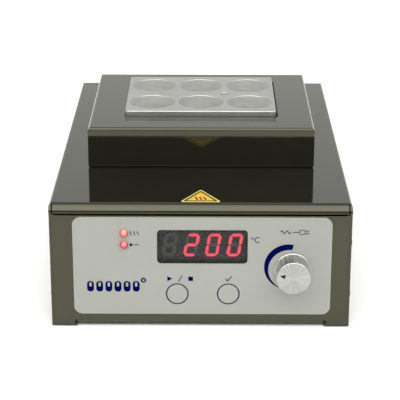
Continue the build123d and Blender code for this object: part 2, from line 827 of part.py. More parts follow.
board_low = well_bottom - 8.0
cutout_length = 35.0
with BuildPart() as insulation_board:
    with BuildSketch(Plane.XY.offset(board_low)):
        with Locations((0, block_y)):
            Rectangle(2 * outer_half_width - 2, 2 * outer_half_depth - 2)
            RectangleRounded(cutout_length, 20.0, 3.0, mode=Mode.SUBTRACT)
        with Locations(*well_bolt_points):
            Circle(5.2, mode=Mode.SUBTRACT)
    extrude(amount=8.0)
save(insulation_board.part, "insulation_board")

shield_low = 27.0
shield_thick = 0.8
with BuildPart() as heat_shield:
    with BuildSketch(Plane.XY.offset(shield_low)):
        with Locations((0, block_y)):
            RectangleRounded(124.0, 112.0, 3.0)
    extrude(amount=12.0)
    with BuildSketch(Plane.XY.offset(shield_low + shield_thick)):
        with Locations((0, block_y)):
            RectangleRounded(124.0 - 2 * shield_thick, 112.0 - 2 * shield_thick, 2.2)
    extrude(amount=12.0, mode=Mode.SUBTRACT)
    with BuildSketch(Plane.XY.offset(shield_low)):
        with Locations(*well_bolt_points):
            Circle(2.2)
    extrude(amount=shield_thick, mode=Mode.SUBTRACT)
save(heat_shield.part, "heat_shield")

bolt_places = [(x, y, floor_top) for x, y in well_bolt_points]
save_copies(hex_standoff(shield_low - floor_top, 8.0, 2.2), bolt_places, "well_standoffs")
spacer_low = shield_low + shield_thick
save_copies(
    tube(well_bottom - spacer_low, 5.0, 2.2),
    [(x, y, spacer_low) for x, y in well_bolt_points],
    "ceramic_spacers",
)
floor_underside = Plane((0, 0, foot_height), x_dir=(1, 0, 0), z_dir=(0, 0, -1))
save_copies(
    button_screw(well_bottom + 8.0 - foot_height, 2.0, 4.0, 1.7),
    seats(floor_underside, [(x, -y) for x, y in well_bolt_points]),
    "well_bolts",
)

with BuildPart() as thermal_cutout:
    with BuildSketch(Plane.XY.offset(well_bottom)):
        with Locations((0, sensor_y)):
            Circle(8.0)
            SlotOverall(31.0, 7.0)
        with Locations((-12.0, sensor_y), (12.0, sensor_y)):
            Circle(screw_radius, mode=Mode.SUBTRACT)
    extrude(amount=-0.8)
    with BuildSketch(Plane.XY.offset(well_bottom - 0.8)):
        with Locations((0, sensor_y)):
            Circle(8.0)
    extrude(amount=-6.0)
    with BuildSketch(Plane.XY.offset(well_bottom - 6.8)):
        with Locations((-4.5, sensor_y), (4.5, sensor_y)):
            Rectangle(0.8, 6.3)
    extrude(amount=-3.4)
save(thermal_cutout.part, "thermal_cutout")

cutout_underside = Plane((0, 0, well_bottom - 0.8), x_dir=(1, 0, 0), z_dir=(0, 0, -1))
save_copies(
    button_screw(4.0, 1.25, 2.2, 1.5),
    seats(cutout_underside, [(-12.0, -sensor_y), (12.0, -sensor_y)]),
    "cutout_screws",
)

# ---------------------------------------------------------------- power board
with BuildPart() as power_board:
    with BuildSketch(Plane.XY.offset(power_low)):
        with Locations((-23.0, 98.0)):
            RectangleRounded(94.0, 56.0, 2.0)
        with Locations(*power_board_corners):
            Circle(screw_clearance, mode=Mode.SUBTRACT)
    extrude(amount=board_thick)
save(power_board.part, "power_board")

transformer_x = -38.0
transformer_y = 97.0
with BuildPart() as transformer:
    with BuildSketch(Plane.XY.offset(power_top)):
        with Locations((transformer_x, transformer_y)):
            Rectangle(38.0, 22.0)
    extrude(amount=32.0)
    # The winding bobbin stands out in front of and behind the core.
    with BuildSketch(Plane.XY.offset(power_top + 4.0)):
        with Locations((transformer_x, transformer_y)):
            RectangleRounded(27.0, 34.0, 3.0)
    extrude(amount=21.0)
save(transformer.part, "transformer")

sink_x = -8.0
sink_y = 94.0
with BuildPart() as triac_heatsink:
    with BuildSketch(Plane.XY.offset(power_top)):
        with Locations((sink_x, sink_y)):
            Rectangle(16.0, 3.0)
        with Locations((sink_x, sink_y - 6.0)):
            with GridLocations(5.0, 0, 4, 1):
                Rectangle(1.0, 9.0)
    extrude(amount=26.0)
save(triac_heatsink.part, "triac_heatsink")

triac_y = sink_y + 1.5
with BuildPart() as triac:
    # Moulded body, metal tab above it and three legs below.
    with BuildSketch(Plane.XY.offset(power_top + 5.0)):
        with Locations((sink_x, triac_y + 2.2)):
            Rectangle(10.0, 4.4)
    extrude(amount=9.0)
    with BuildSketch(Plane.XY.offset(power_top + 14.0)):
        with Locations((sink_x, triac_y + 0.65)):
            Rectangle(10.0, 1.3)
    extrude(amount=6.5)
    with BuildSketch(Plane.XY.offset(power_top)):
        with Locations((sink_x, triac_y + 2.2)):
            with GridLocations(2.54, 0, 3, 1):
                Rectangle(0.8, 0.5)
    extrude(amount=5.0)
save(triac.part, "triac")

terminal_x = -65.0
terminal_y = 99.0
terminal_pitch = 5.08
terminal_ways = 6
terminal_mouth_x = terminal_x - 4.5
terminal_mouth_z = power_top + 4.0
with BuildPart() as terminal_block:
    with BuildSketch(Plane.XY.offset(power_top)):
        with Locations((terminal_x, terminal_y)):
            Rectangle(9.0, terminal_ways * terminal_pitch)
    extrude(amount=11.0)
    with BuildSketch(Plane.XY.offset(power_top + 11.0)):
        with Locations((terminal_x, terminal_y)):
            with GridLocations(0, terminal_pitch, 1, terminal_ways):
                Circle(1.9)
    extrude(amount=-1.5, mode=Mode.SUBTRACT)
    # Wire mouths towards the side wall.
    with BuildSketch(side_plane(terminal_mouth_x)):
        with Locations((terminal_y, terminal_mouth_z)):
            with GridLocations(terminal_pitch, 0, terminal_ways, 1):
                Rectangle(3.4, 3.4)
    extrude(amount=5.0, mode=Mode.SUBTRACT)
save(terminal_block.part, "terminal_block")

with BuildPart() as filter_capacitor:
    with BuildSketch(Plane.XY.offset(power_top)):
        with Locations((-8.0, 112.0)):
            RectangleRounded(18.0, 8.5, 0.6)
    extrude(amount=11.5)
save(filter_capacitor.part, "filter_capacitor")

# ---------------------------------------------------------------- ribbon cable between the boards
header_reach = 9.0
ribbon_width = 14.0
ribbon_thick = 0.9
power_header_y = 76.0
with BuildPart() as ribbon_headers:
    with BuildSketch(back_plane(board_back)):
        with Locations((-header_x, header_z)):
            Rectangle(20.0, 8.8)
    extrude(amount=header_reach)
    with BuildSketch(Plane.XY.offset(power_top)):
        with Locations((header_x, power_header_y + 1.0)):
            Rectangle(15.0, 8.8)
    extrude(amount=header_reach)
save(ribbon_headers.part, "ribbon_headers")

ribbon_floor = floor_top + 3.0
ribbon_start = board_back + header_reach
ribbon_rise = 67.0
with BuildPart() as ribbon_cable:
    with BuildLine() as ribbon_route:
        FilletPolyline(
            (header_x, ribbon_start, header_z),
            (header_x, ribbon_start + 9.0, header_z),
            (header_x, ribbon_start + 17.0, ribbon_floor),
            (header_x, ribbon_rise, ribbon_floor),
            (header_x, ribbon_rise, 31.0),
            (header_x, power_header_y + 1.0, 31.0),
            (header_x, power_header_y + 1.0, power_top + header_reach),
            radius=[4.0, 4.0, 4.0, 4.0, 4.0],
        )
    with BuildSketch(Plane(ribbon_route.line @ 0, x_dir=(1, 0, 0), z_dir=ribbon_route.line % 0)):
        Rectangle(ribbon_width, ribbon_thick)
    sweep()
save(ribbon_cable.part, "ribbon_cable")

# ---------------------------------------------------------------- mains inlet
inlet_front_depth = 24.0
flange_thick = 3.0
flange_face = face_back + flange_thick
socket_z = inlet_z + 4.6
drawer_z = inlet_z - 9.6
socket_depth = 17.0
drawer_half_width = 11.3
drawer_half_height = 4.1
drawer_depth = 23.0
drawer_gap = 0.2
blade_points = [
    (-inlet_x - 7.0, socket_z - 2.0),
    (-inlet_x + 7.0, socket_z - 2.0),
    (-inlet_x, socket_z + 2.0),
]

with BuildPart() as mains_inlet:
    with BuildSketch(back_plane(face_back)):
        with Locations((-inlet_x, inlet_z)):
            RectangleRounded(50.0, 34.0, 3.0)
        with Locations(*rear_screw_points):
            Circle(screw_clearance, mode=Mode.SUBTRACT)
    extrude(amount=flange_thick)
    with BuildSketch(back_plane(face_back)):
        with Locations((-inlet_x, inlet_z)):
            Rectangle(2 * inlet_half_width, inlet_high - inlet_low)
    extrude(amount=-inlet_front_depth)
    # Socket with two bevelled lower corners.
    with BuildSketch(back_plane(flange_face)) as socket:
        with Locations((-inlet_x, socket_z)):
            Rectangle(24.6, 16.6)
        chamfer(socket.vertices().group_by(Axis.Y)[-1], 4.0)
    extrude(amount=-socket_depth, mode=Mode.SUBTRACT)
    with BuildSketch(back_plane(flange_face)):
        with Locations((-inlet_x, drawer_z)):
            Rectangle(2 * (drawer_half_width + drawer_gap), 2 * (drawer_half_height + drawer_gap))
    extrude(amount=-drawer_depth - 1.0, mode=Mode.SUBTRACT)
    # Slots that hold the contact blades.
    with BuildSketch(back_plane(face_back - inlet_front_depth)):
        with Locations(*blade_points):
            Rectangle(2.0, 4.0)
    extrude(amount=inlet_front_depth, mode=Mode.SUBTRACT)
save(mains_inlet.part, "mains_inlet")

blade_tip = flange_face - 1.6
with BuildPart() as inlet_blades:
    with BuildSketch(back_plane(blade_tip)):
        with Locations(*blade_points):
            Rectangle(2.0, 4.0)
    extrude(amount=-(blade_tip - face_back + inlet_front_depth))
    with BuildSketch(back_plane(face_back - inlet_front_depth)):
        with Locations(*blade_points):
            Rectangle(0.8, 4.0)
    extrude(amount=-8.0)
save(inlet_blades.part, "inlet_blades")

save_copies(
    button_screw(8.0, head_height=1.4),
    seats(back_plane(flange_face), rear_screw_points),
    "inlet_screws",
)
save_copies(
    hex_standoff(2.4, 5.5),
    seats(front_plane(face_back - sheet), [(-x, z) for x, z in rear_screw_points]),
    "inlet_nuts",
)

drawer_face_width = 25.0
drawer_face_height = 9.0
with BuildPart() as fuse_drawer:
    with BuildSketch(back_plane(flange_face)):
        with Locations((-inlet_x, drawer_z)):
            Rectangle(drawer_face_width, drawer_face_height)
    extrude(amount=rear_reach + face_setback - flange_thick)
    with BuildSketch(back_plane(flange_face)):
        with Locations((-inlet_x, drawer_z)):
            Rectangle(2 * drawer_half_width, 2 * drawer_half_height)
    extrude(amount=-drawer_depth)
    # Two open troughs for the fuses.
    with BuildSketch(back_plane(flange_face - 1.0)):
        with Locations((-inlet_x - 5.6, drawer_z + 1.0), (-inlet_x + 5.6, drawer_z + 1.0)):
            Rectangle(5.6, 6.2 + 1.0)
    extrude(amount=-21.0, mode=Mode.SUBTRACT)
    # Finger notch in the drawer's face.
    with BuildSketch(back_plane(flange_face + 1.4)):
        with Locations((-inlet_x, drawer_z + 4.5)):
            RectangleRounded(9.0, 3.0, 0.8)
    extrude(amount=-1.0, mode=Mode.SUBTRACT)
save(fuse_drawer.part, "fuse_drawer")

with BuildPart() as fuses:
    with BuildSketch(back_plane(flange_face - 1.5)):
        with Locations((-inlet_x - 5.6, drawer_z), (-inlet_x + 5.6, drawer_z)):
            Circle(2.3)
    extrude(amount=-20.0)
    for end in (flange_face - 1.5, flange_face - 16.5):
        with BuildSketch(back_plane(end)):
            with Locations((-inlet_x - 5.6, drawer_z), (-inlet_x + 5.6, drawer_z)):
                Circle(2.55)
        extrude(amount=-5.0)
save(fuses.part, "fuses")

# ---------------------------------------------------------------- mains switch
rocker_half_width = 8.8
rocker_radius = 13.0
rocker_tilt = 9.0
pivot_y = face_back - 3.3
rocker_edge = 5.4
rocker_dip = 4.2
rocker_floor = -5.0
rocker_gap = 0.35
rocker_cavity = pivot_y - 8.0
switch_back = rocker_cavity - 1.5

with BuildPart() as switch_housing:
    with BuildSketch(back_plane(face_back)):
        with Locations((-switch_x, switch_z)):
            RectangleRounded(25.6, 33.0, 1.5)
    extrude(amount=2.0)
    chamfer(switch_housing.faces().sort_by(Axis.Y)[-1].edges(), 0.6)
    with BuildSketch(back_plane(face_back)):
        with Locations((-switch_x, switch_z)):
            Rectangle(2 * switch_half_width, 2 * switch_half_height)
    extrude(amount=-(face_back - switch_back))
    with BuildSketch(back_plane(face_back + 2.0)):
        with Locations((-switch_x, switch_z)):
            Rectangle(2 * (rocker_half_width + rocker_gap), 2 * (rocker_radius + rocker_gap))
    extrude(amount=-(face_back + 2.0 - rocker_cavity), mode=Mode.SUBTRACT)
    # Bearing for the rocker's pins.
    with BuildSketch(side_plane(switch_x - 10.3)):
        with Locations((pivot_y, switch_z)):
            Circle(1.55)
    extrude(amount=20.6, mode=Mode.SUBTRACT)
save(switch_housing.part, "switch_housing")

with BuildPart() as switch_terminals:
    with BuildSketch(front_plane(switch_back)):
        with Locations((switch_x, switch_z)):
            with GridLocations(12.0, 14.0, 2, 2):
                Rectangle(0.8, 6.3)
    extrude(amount=8.0)
save(switch_terminals.part, "switch_terminals")

tilt_dir = (0, cos(radians(rocker_tilt)), sin(radians(rocker_tilt)))
rest_tilt = Plane((0, pivot_y, switch_z), x_dir=tilt_dir, z_dir=(1, 0, 0))
with BuildPart() as mains_rocker:
    # Profile in the plane of tilt, measured from the pivot: local x points out of the panel.
    with BuildSketch(rest_tilt.offset(switch_x - rocker_half_width)):
        Circle(rocker_radius)
        with BuildLine():
            Polyline(
                (rocker_floor, -rocker_radius),
                (rocker_edge, -rocker_radius),
                (rocker_dip, 0),
                (rocker_edge, rocker_radius),
                (rocker_floor, rocker_radius),
                close=True,
            )
        make_face(mode=Mode.INTERSECT)
    extrude(amount=2 * rocker_half_width)
    with BuildSketch(rest_tilt.offset(switch_x - 10.1)):
        Circle(1.5)
    extrude(amount=20.2)
save(mains_rocker.part, "mains_rocker")

# ---------------------------------------------------------------- internal leads
tag_low = floor_top + stud_foot
tag_thick = 0.8
with BuildPart() as earth_nut:
    with BuildSketch(Plane.XY.offset(tag_low + tag_thick)):
        with Locations(earth_point):
            RegularPolygon(radius=3.5, side_count=6, major_radius=False)
            Circle(2.0 + thread_gap, mode=Mode.SUBTRACT)
    extrude(amount=3.2)
save(earth_nut.part, "earth_nut")

lead_radius = 1.1
blade_end_y = face_back - inlet_front_depth - 8.0
blade_low_z = socket_z - 2.0
blade_high_z = socket_z + 2.0
tag_reach = 9.0
earth_x, earth_y = earth_point

with BuildPart() as earth_lead:
    # Ring tag on the stud, its barrel, and the lead down from the earth blade.
    with BuildSketch(Plane.XY.offset(tag_low)):
        with Locations(earth_point):
            Circle(4.0)
        with Locations((earth_x, earth_y - tag_reach / 2)):
            Rectangle(3.0, tag_reach)
        with Locations(earth_point):
            Circle(2.0 + thread_gap, mode=Mode.SUBTRACT)
    extrude(amount=tag_thick)
    add(
        lead(
            [
                (inlet_x, blade_end_y, blade_high_z),
                (inlet_x, blade_end_y - 10.0, blade_high_z),
                (inlet_x + 14.0, blade_end_y - 18.0, 44.0),
                (inlet_x + 20.0, blade_end_y - 27.0, 28.0),
                (earth_x + 2.0, blade_end_y - 31.0, 13.0),
                (earth_x, earth_y - tag_reach - 9.0, tag_low + lead_radius),
                (earth_x, earth_y - tag_reach + 1.0, tag_low + lead_radius + 0.2),
            ],
            lead_radius,
        )
    )
save(earth_lead.part, "earth_lead")

way_y = [terminal_y + (way - (terminal_ways - 1) / 2) * terminal_pitch for way in range(terminal_ways)]
mouth_end = terminal_mouth_x + 3.0
heater_end_x = -outer_half_width - heater_tail
with BuildPart() as heater_leads:
    # The two heaters are in series: one lead each to the terminals and a loop between them.
    (first_y, _), (second_y, _) = heater_points
    add(
        lead(
            [
                (heater_end_x, first_y, heater_level + 1.8),
                (heater_end_x - 16.0, first_y, heater_level + 1.8),
                (-80.0, first_y + 14.0, 43.0),
                (-81.0, first_y + 56.0, 31.0),
                (-80.0, way_y[0] - 12.0, 19.0),
                (-80.0, way_y[0], terminal_mouth_z),
                (mouth_end, way_y[0], terminal_mouth_z),
            ],
            lead_radius,
        )
    )
    add(
        lead(
            [
                (heater_end_x, second_y, heater_level + 1.8),
                (heater_end_x - 14.0, second_y, heater_level + 1.8),
                (-75.0, second_y + 12.0, 42.0),
                (-76.0, second_y + 36.0, 27.0),
                (-77.0, way_y[1] - 9.0, 18.0),
                (-77.0, way_y[1], terminal_mouth_z),
                (mouth_end, way_y[1], terminal_mouth_z),
            ],
            lead_radius,
        )
    )
    add(
        lead(
            [
                (heater_end_x, first_y, heater_level - 1.8),
                (heater_end_x - 11.0, first_y, heater_level - 1.8),
                (heater_end_x - 13.0, (first_y + second_y) / 2, heater_level - 0.8),
                (heater_end_x - 11.0, second_y, heater_level - 1.8),
                (heater_end_x, second_y, heater_level - 1.8),
            ],
            lead_radius,
        )
    )
save(heater_leads.part, "heater_leads")

probe_end = probe_tip + 47.0
probe_lead = lead(
    [
        (probe_end, sensor_y, heater_level),
        (probe_end + 16.0, sensor_y, heater_level),
        (78.0, sensor_y - 16.0, 43.0),
        (79.0, sensor_y - 62.0, 37.0),
        (76.0, board_back + 24.0, 32.0),
        (63.0, board_back + 12.0, 31.0),
        (63.0, board_back, 31.0),
    ],
    1.3,
)
save(probe_lead, "probe_lead")

switch_lead_y = switch_back - 8.0
with BuildPart() as mains_leads:
    # Inlet to switch, live and neutral, then switch to terminals over the transformer.
    add(
        lead(
            [
                (inlet_x - 7.0, blade_end_y, blade_low_z),
                (inlet_x - 7.0, blade_end_y - 12.0, blade_low_z),
                (inlet_x - 22.0, blade_end_y - 20.0, 47.0),
                (switch_x + 6.0, blade_end_y - 9.0, switch_z + 7.0),
                (switch_x + 6.0, switch_lead_y, switch_z + 7.0),
            ],
            lead_radius,
        )
    )
    add(
        lead(
            [
                (inlet_x + 7.0, blade_end_y, blade_low_z),
                (inlet_x + 7.0, blade_end_y - 17.0, blade_low_z),
                (inlet_x - 18.0, blade_end_y - 22.0, 33.0),
                (switch_x + 6.0, blade_end_y - 8.0, switch_z - 7.0),
                (switch_x + 6.0, switch_lead_y, switch_z - 7.0),
            ],
            lead_radius,
        )
    )
    for terminal_z, across, way in ((switch_z + 7.0, 52.0, 2), (switch_z - 7.0, 55.0, 3)):
        add(
            lead(
                [
                    (switch_x - 6.0, switch_lead_y, terminal_z),
                    (switch_x - 6.0, way_y[way] + 5.0, terminal_z),
                    (switch_x - 14.0, way_y[way] + 2.0, across),
                    (transformer_x, way_y[way] - 1.0, across + 2.0),
                    (terminal_x - 8.0, way_y[way], across - 3.0),
                    (terminal_x - 14.0, way_y[way], 30.0),
                    (terminal_x - 12.0, way_y[way], terminal_mouth_z),
                    (mouth_end, way_y[way], terminal_mouth_z),
                ],
                lead_radius,
            )
        )
save(mains_leads.part, "mains_leads")
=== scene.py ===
import math

import bpy
from mathutils import Matrix, Vector
from mathutils.bvhtree import BVHTree


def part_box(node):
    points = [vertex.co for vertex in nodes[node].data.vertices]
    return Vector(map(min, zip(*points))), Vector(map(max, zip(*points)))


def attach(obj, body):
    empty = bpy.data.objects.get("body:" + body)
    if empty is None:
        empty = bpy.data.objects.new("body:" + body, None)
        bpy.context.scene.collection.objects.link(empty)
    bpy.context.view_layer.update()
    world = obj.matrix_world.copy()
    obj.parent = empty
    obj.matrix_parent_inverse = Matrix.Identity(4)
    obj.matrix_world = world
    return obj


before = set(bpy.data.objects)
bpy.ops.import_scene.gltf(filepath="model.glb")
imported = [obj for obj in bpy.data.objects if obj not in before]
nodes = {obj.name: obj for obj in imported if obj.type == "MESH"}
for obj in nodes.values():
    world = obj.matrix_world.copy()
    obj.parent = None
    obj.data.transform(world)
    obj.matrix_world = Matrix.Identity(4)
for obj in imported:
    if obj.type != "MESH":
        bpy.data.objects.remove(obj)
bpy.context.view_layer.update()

# Looks of the dry block heater: materials for the CAD nodes, the printed marks, the lit display and
# the studio. Metres, in the frame's own axes. Outlines of prints are written in millimetres.
MM = 0.001


# ---------------------------------------------------------------- node helpers
def add(tree, kind, inputs=None, **settings):
    """Add a node. inputs maps a socket's name or number to a value, or to the output that feeds it."""
    made = tree.nodes.new(kind)
    for key, value in settings.items():
        setattr(made, key, value)
    for key, value in (inputs or {}).items():
        if isinstance(value, bpy.types.NodeSocket):
            tree.links.new(value, made.inputs[key])
        else:
            made.inputs[key].default_value = value
    return made


def start_material(name, colour, roughness, metallic=0.0, **sockets):
    """New material whose shader has its constant values set. Returns (material, tree, shader)."""
    material = bpy.data.materials.new(name)
    material.use_nodes = True
    tree = material.node_tree
    shader = tree.nodes["Principled BSDF"]
    values = {"Base Color": (*colour, 1.0), "Roughness": roughness, "Metallic": metallic}
    for key, value in {**values, **sockets}.items():
        shader.inputs[key].default_value = value
    return material, tree, shader


def place(tree, scale=(1, 1, 1), turn=(0, 0, 0)):
    """Object coordinates, stretched and turned."""
    coordinates = add(tree, "ShaderNodeTexCoord").outputs["Object"]
    inputs = {"Vector": coordinates, "Scale": scale, "Rotation": turn}
    return add(tree, "ShaderNodeMapping", inputs).outputs[0]


def noise(tree, scale, detail=2.0, vector=None):
    """Noise with features of about 1 / scale metres."""
    vector = vector or place(tree)
    made = add(tree, "ShaderNodeTexNoise", {"Vector": vector, "Scale": scale, "Detail": detail})
    return made.outputs["Fac"]


def blend(tree, amount, low, high):
    """Colour that runs from low to high as amount runs over the middle of a noise's range."""
    ramp = add(tree, "ShaderNodeValToRGB", {"Fac": amount})
    ramp.color_ramp.elements[0].position = 0.3
    ramp.color_ramp.elements[0].color = (*low, 1.0)
    ramp.color_ramp.elements[1].position = 0.7
    ramp.color_ramp.elements[1].color = (*high, 1.0)
    return ramp.outputs["Color"]


def spread(tree, amount, low, high):
    """Number that runs from low to high as amount runs over the middle of a noise's range."""
    sockets = {"Value": amount, "From Min": 0.3, "From Max": 0.7, "To Min": low, "To Max": high}
    return add(tree, "ShaderNodeMapRange", sockets).outputs["Result"]


def relief(tree, height, depth, under=None):
    """Normal bumped by a height of 0 to 1, depth metres high."""
    sockets = {"Height": height, "Distance": depth, "Strength": 1.0}
    if under is not None:
        sockets["Normal"] = under
    return add(tree, "ShaderNodeBump", sockets).outputs["Normal"]


def softened(tree, radius):
    """Normal with its sharp edges rounded to this radius."""
    return add(tree, "ShaderNodeBevel", {"Radius": radius}, samples=6).outputs["Normal"]


def math_node(tree, operation, first, second=0.0):
    return add(tree, "ShaderNodeMath", {0: first, 1: second}, operation=operation).outputs[0]


def tint(colour, factor):
    return tuple(channel * factor for channel in colour)


# ---------------------------------------------------------------- materials
def moulded(name, colour, roughness=0.42, grain=1800, depth=6e-6, vary=0.14, **sockets):
    """Moulded plastic or rubber: fine spark-eroded grain, slight clouding, uneven gloss."""
    material, tree, shader = start_material(name, colour, roughness, **sockets)
    cloud = noise(tree, 45, 3.0)
    fine = noise(tree, grain, 2.0)
    skin = blend(tree, cloud, tint(colour, 1 - vary), tint(colour, 1 + vary))
    tree.links.new(skin, shader.inputs["Base Color"])
    tree.links.new(spread(tree, cloud, roughness - 0.05, roughness + 0.07), shader.inputs["Roughness"])
    tree.links.new(relief(tree, fine, depth, softened(tree, 0.00018)), shader.inputs["Normal"])
    return material


def metal(name, colour, roughness=0.32, along=(1, 1, 1), grain=900, depth=3e-6, vary=0.12, **sockets):
    """Metal with fine marks: along stretches the marks, a small number gives long lines on that axis."""
    material, tree, shader = start_material(name, colour, roughness, 1.0, **sockets)
    lines = noise(tree, grain, 3.0, place(tree, along))
    cloud = noise(tree, 60, 3.0)
    skin = blend(tree, cloud, tint(colour, 1 - vary), tint(colour, 1 + vary))
    tree.links.new(skin, shader.inputs["Base Color"])
    tree.links.new(spread(tree, lines, roughness - 0.07, roughness + 0.1), shader.inputs["Roughness"])
    tree.links.new(relief(tree, lines, depth, softened(tree, 0.00015)), shader.inputs["Normal"])
    return material


def lacquer():
    """Near-black gloss lacquer on sheet steel with an olive cast: orange peel, a few dust nibs."""
    colour = (0.0085, 0.0085, 0.0062)
    material, tree, shader = start_material(
        "lacquered_steel",
        colour,
        0.05,
        **{"Specular IOR Level": 0.73, "Specular Tint": (1.0, 0.985, 0.74, 1.0)},
    )
    nibs = noise(tree, 1500, 1.0)
    body = blend(tree, noise(tree, 12, 3.0), tint(colour, 0.85), tint(colour, 1.15))
    nib_mask = add(
        tree,
        "ShaderNodeMapRange",
        {"Value": nibs, "From Min": 0.72, "From Max": 0.8, "To Min": 0.0, "To Max": 0.3},
    ).outputs["Result"]
    speckled = add(
        tree,
        "ShaderNodeMix",
        {"Factor": nib_mask, "A": body, "B": (0.05, 0.05, 0.042, 1.0)},
        data_type="RGBA",
    ).outputs["Result"]
    tree.links.new(speckled, shader.inputs["Base Color"])
    tree.links.new(spread(tree, noise(tree, 40, 2.0), 0.035, 0.075), shader.inputs["Roughness"])
    peel = noise(tree, 420, 1.0)
    tree.links.new(relief(tree, peel, 2.5e-6, softened(tree, 0.00012)), shader.inputs["Normal"])
    return material


def milled_block():
    """Aluminium block: brushed along X on its flat faces, turned rings down the bores."""
    colour, bored = (0.535, 0.54, 0.53), (0.80, 0.80, 0.78)
    material, tree, shader = start_material("tube_block", colour, 0.34, 1.0)
    brushed = noise(tree, 1400, 3.0, place(tree, (0.03, 1.0, 1.0)))
    rings = noise(tree, 2600, 2.0, place(tree, (0.02, 0.02, 1.0)))
    normal = add(tree, "ShaderNodeNewGeometry").outputs["Normal"]
    upward = math_node(tree, "ABSOLUTE", add(tree, "ShaderNodeSeparateXYZ", {0: normal}).outputs["Z"])
    flat = math_node(tree, "GREATER_THAN", upward, 0.5)
    marks = add(tree, "ShaderNodeMix", {"Factor": flat, "A": rings, "B": brushed}).outputs["Result"]
    cloud = noise(tree, 35, 3.0)
    faces = blend(tree, cloud, tint(colour, 0.94), tint(colour, 1.05))
    walls = blend(tree, rings, tint(bored, 0.86), tint(bored, 1.08))
    # Neither the flat faces nor the block's outer walls are bore walls.
    low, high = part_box("block_insert")
    position = add(tree, "ShaderNodeTexCoord").outputs["Object"]
    offset = add(
        tree, "ShaderNodeVectorMath", {0: position, 1: (low + high) / 2}, operation="SUBTRACT"
    ).outputs[0]
    share = add(tree, "ShaderNodeVectorMath", {0: offset, 1: (high - low) / 2}, operation="DIVIDE").outputs[0]
    reach = add(tree, "ShaderNodeSeparateXYZ", {0: add(
        tree, "ShaderNodeVectorMath", {0: share}, operation="ABSOLUTE"
    ).outputs[0]}).outputs
    edge = math_node(tree, "GREATER_THAN", math_node(tree, "MAXIMUM", reach["X"], reach["Y"]), 0.975)
    outside = math_node(tree, "MAXIMUM", flat, edge)
    skin = add(tree, "ShaderNodeMix", {"Factor": outside, "A": walls, "B": faces}, data_type="RGBA")
    tree.links.new(skin.outputs["Result"], shader.inputs["Base Color"])
    rough = math_node(tree, "SUBTRACT", 0.2, math_node(tree, "MULTIPLY", outside, 0.2))
    tree.links.new(math_node(tree, "ADD", spread(tree, marks, 0.27, 0.42), rough), shader.inputs["Roughness"])
    tree.links.new(relief(tree, marks, 4e-6, softened(tree, 0.0002)), shader.inputs["Normal"])
    return material


def spun_knob():
    """Spun aluminium: rings round the knob's axis give an anisotropic bow-tie gleam, and a painted bow-tie
    highlight in the face's colour adds to it.
    """
    colour = (0.43, 0.43, 0.415)
    material, tree, shader = start_material("spun_aluminium", colour, 0.3, 1.0, Anisotropic=0.75)
    low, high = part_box("control_knob")
    centre = (low + high) / 2
    position = add(tree, "ShaderNodeTexCoord").outputs["Object"]
    offset = add(
        tree, "ShaderNodeVectorMath", {0: position, 1: centre}, operation="SUBTRACT"
    ).outputs[0]
    across = add(
        tree, "ShaderNodeVectorMath", {0: offset, 1: (1.0, 0.0, 1.0)}, operation="MULTIPLY"
    ).outputs[0]
    radius = add(tree, "ShaderNodeVectorMath", {0: across}, operation="LENGTH").outputs["Value"]
    rings = add(
        tree, "ShaderNodeTexNoise", {"W": radius, "Scale": 5200.0, "Detail": 2.0}, noise_dimensions="1D"
    ).outputs["Fac"]
    heading = add(tree, "ShaderNodeSeparateXYZ", {0: across}).outputs
    turn = math_node(tree, "ARCTAN2", heading["Z"], heading["X"])
    # Painted highlight: the face's colour is paler left and right of the axis and darker above and below it,
    # a painted bow-tie reflection.
    painted_bowtie = math_node(tree, "COSINE", math_node(tree, "MULTIPLY", turn, 2.0))
    chatter = add(tree, "ShaderNodeTexNoise", {"W": turn, "Scale": 7.0, "Detail": 2.0}, noise_dimensions="1D")
    painted_gleam = math_node(tree, "MULTIPLY", painted_bowtie, 0.1)
    share = math_node(tree, "ADD", painted_gleam, chatter.outputs["Fac"])
    face = blend(tree, share, tint(colour, 0.76), tint(colour, 1.03))
    # The serrated side is cut bright, not spun.
    normal = add(tree, "ShaderNodeNewGeometry").outputs["Normal"]
    forward = math_node(tree, "ABSOLUTE", add(tree, "ShaderNodeSeparateXYZ", {0: normal}).outputs["Y"])
    side = math_node(tree, "LESS_THAN", forward, 0.5)
    bright = blend(tree, chatter.outputs["Fac"], tint(colour, 1.55), tint(colour, 1.85))
    skin = add(tree, "ShaderNodeMix", {"Factor": side, "A": face, "B": bright}, data_type="RGBA")
    tree.links.new(skin.outputs["Result"], shader.inputs["Base Color"])
    tree.links.new(spread(tree, rings, 0.24, 0.38), shader.inputs["Roughness"])
    tree.links.new(relief(tree, rings, 3e-6, softened(tree, 0.0001)), shader.inputs["Normal"])
    tangent = add(tree, "ShaderNodeTangent", direction_type="RADIAL", axis="Y").outputs[0]
    tree.links.new(tangent, shader.inputs["Tangent"])
    return material


def overlay_film():
    """Satin silver polyester film: fine metallic fleck under a soft matt skin."""
    colour = (0.252, 0.257, 0.238)
    material, tree, shader = start_material("silver_overlay", colour, 0.46)
    fleck = noise(tree, 3800, 1.0)
    cloud = noise(tree, 22, 2.0)
    body = blend(tree, cloud, tint(colour, 0.98), tint(colour, 1.02))
    flecked = add(
        tree,
        "ShaderNodeMix",
        {"Factor": spread(tree, fleck, 0.0, 0.14), "A": body, "B": (0.46, 0.47, 0.44, 1.0)},
        data_type="RGBA",
    ).outputs["Result"]
    tree.links.new(flecked, shader.inputs["Base Color"])
    tree.links.new(spread(tree, fleck, 0.4, 0.52), shader.inputs["Roughness"])
    grain = relief(tree, noise(tree, 1600, 2.0), 3e-6, softened(tree, 0.0001))
    tree.links.new(grain, shader.inputs["Normal"])
    return material


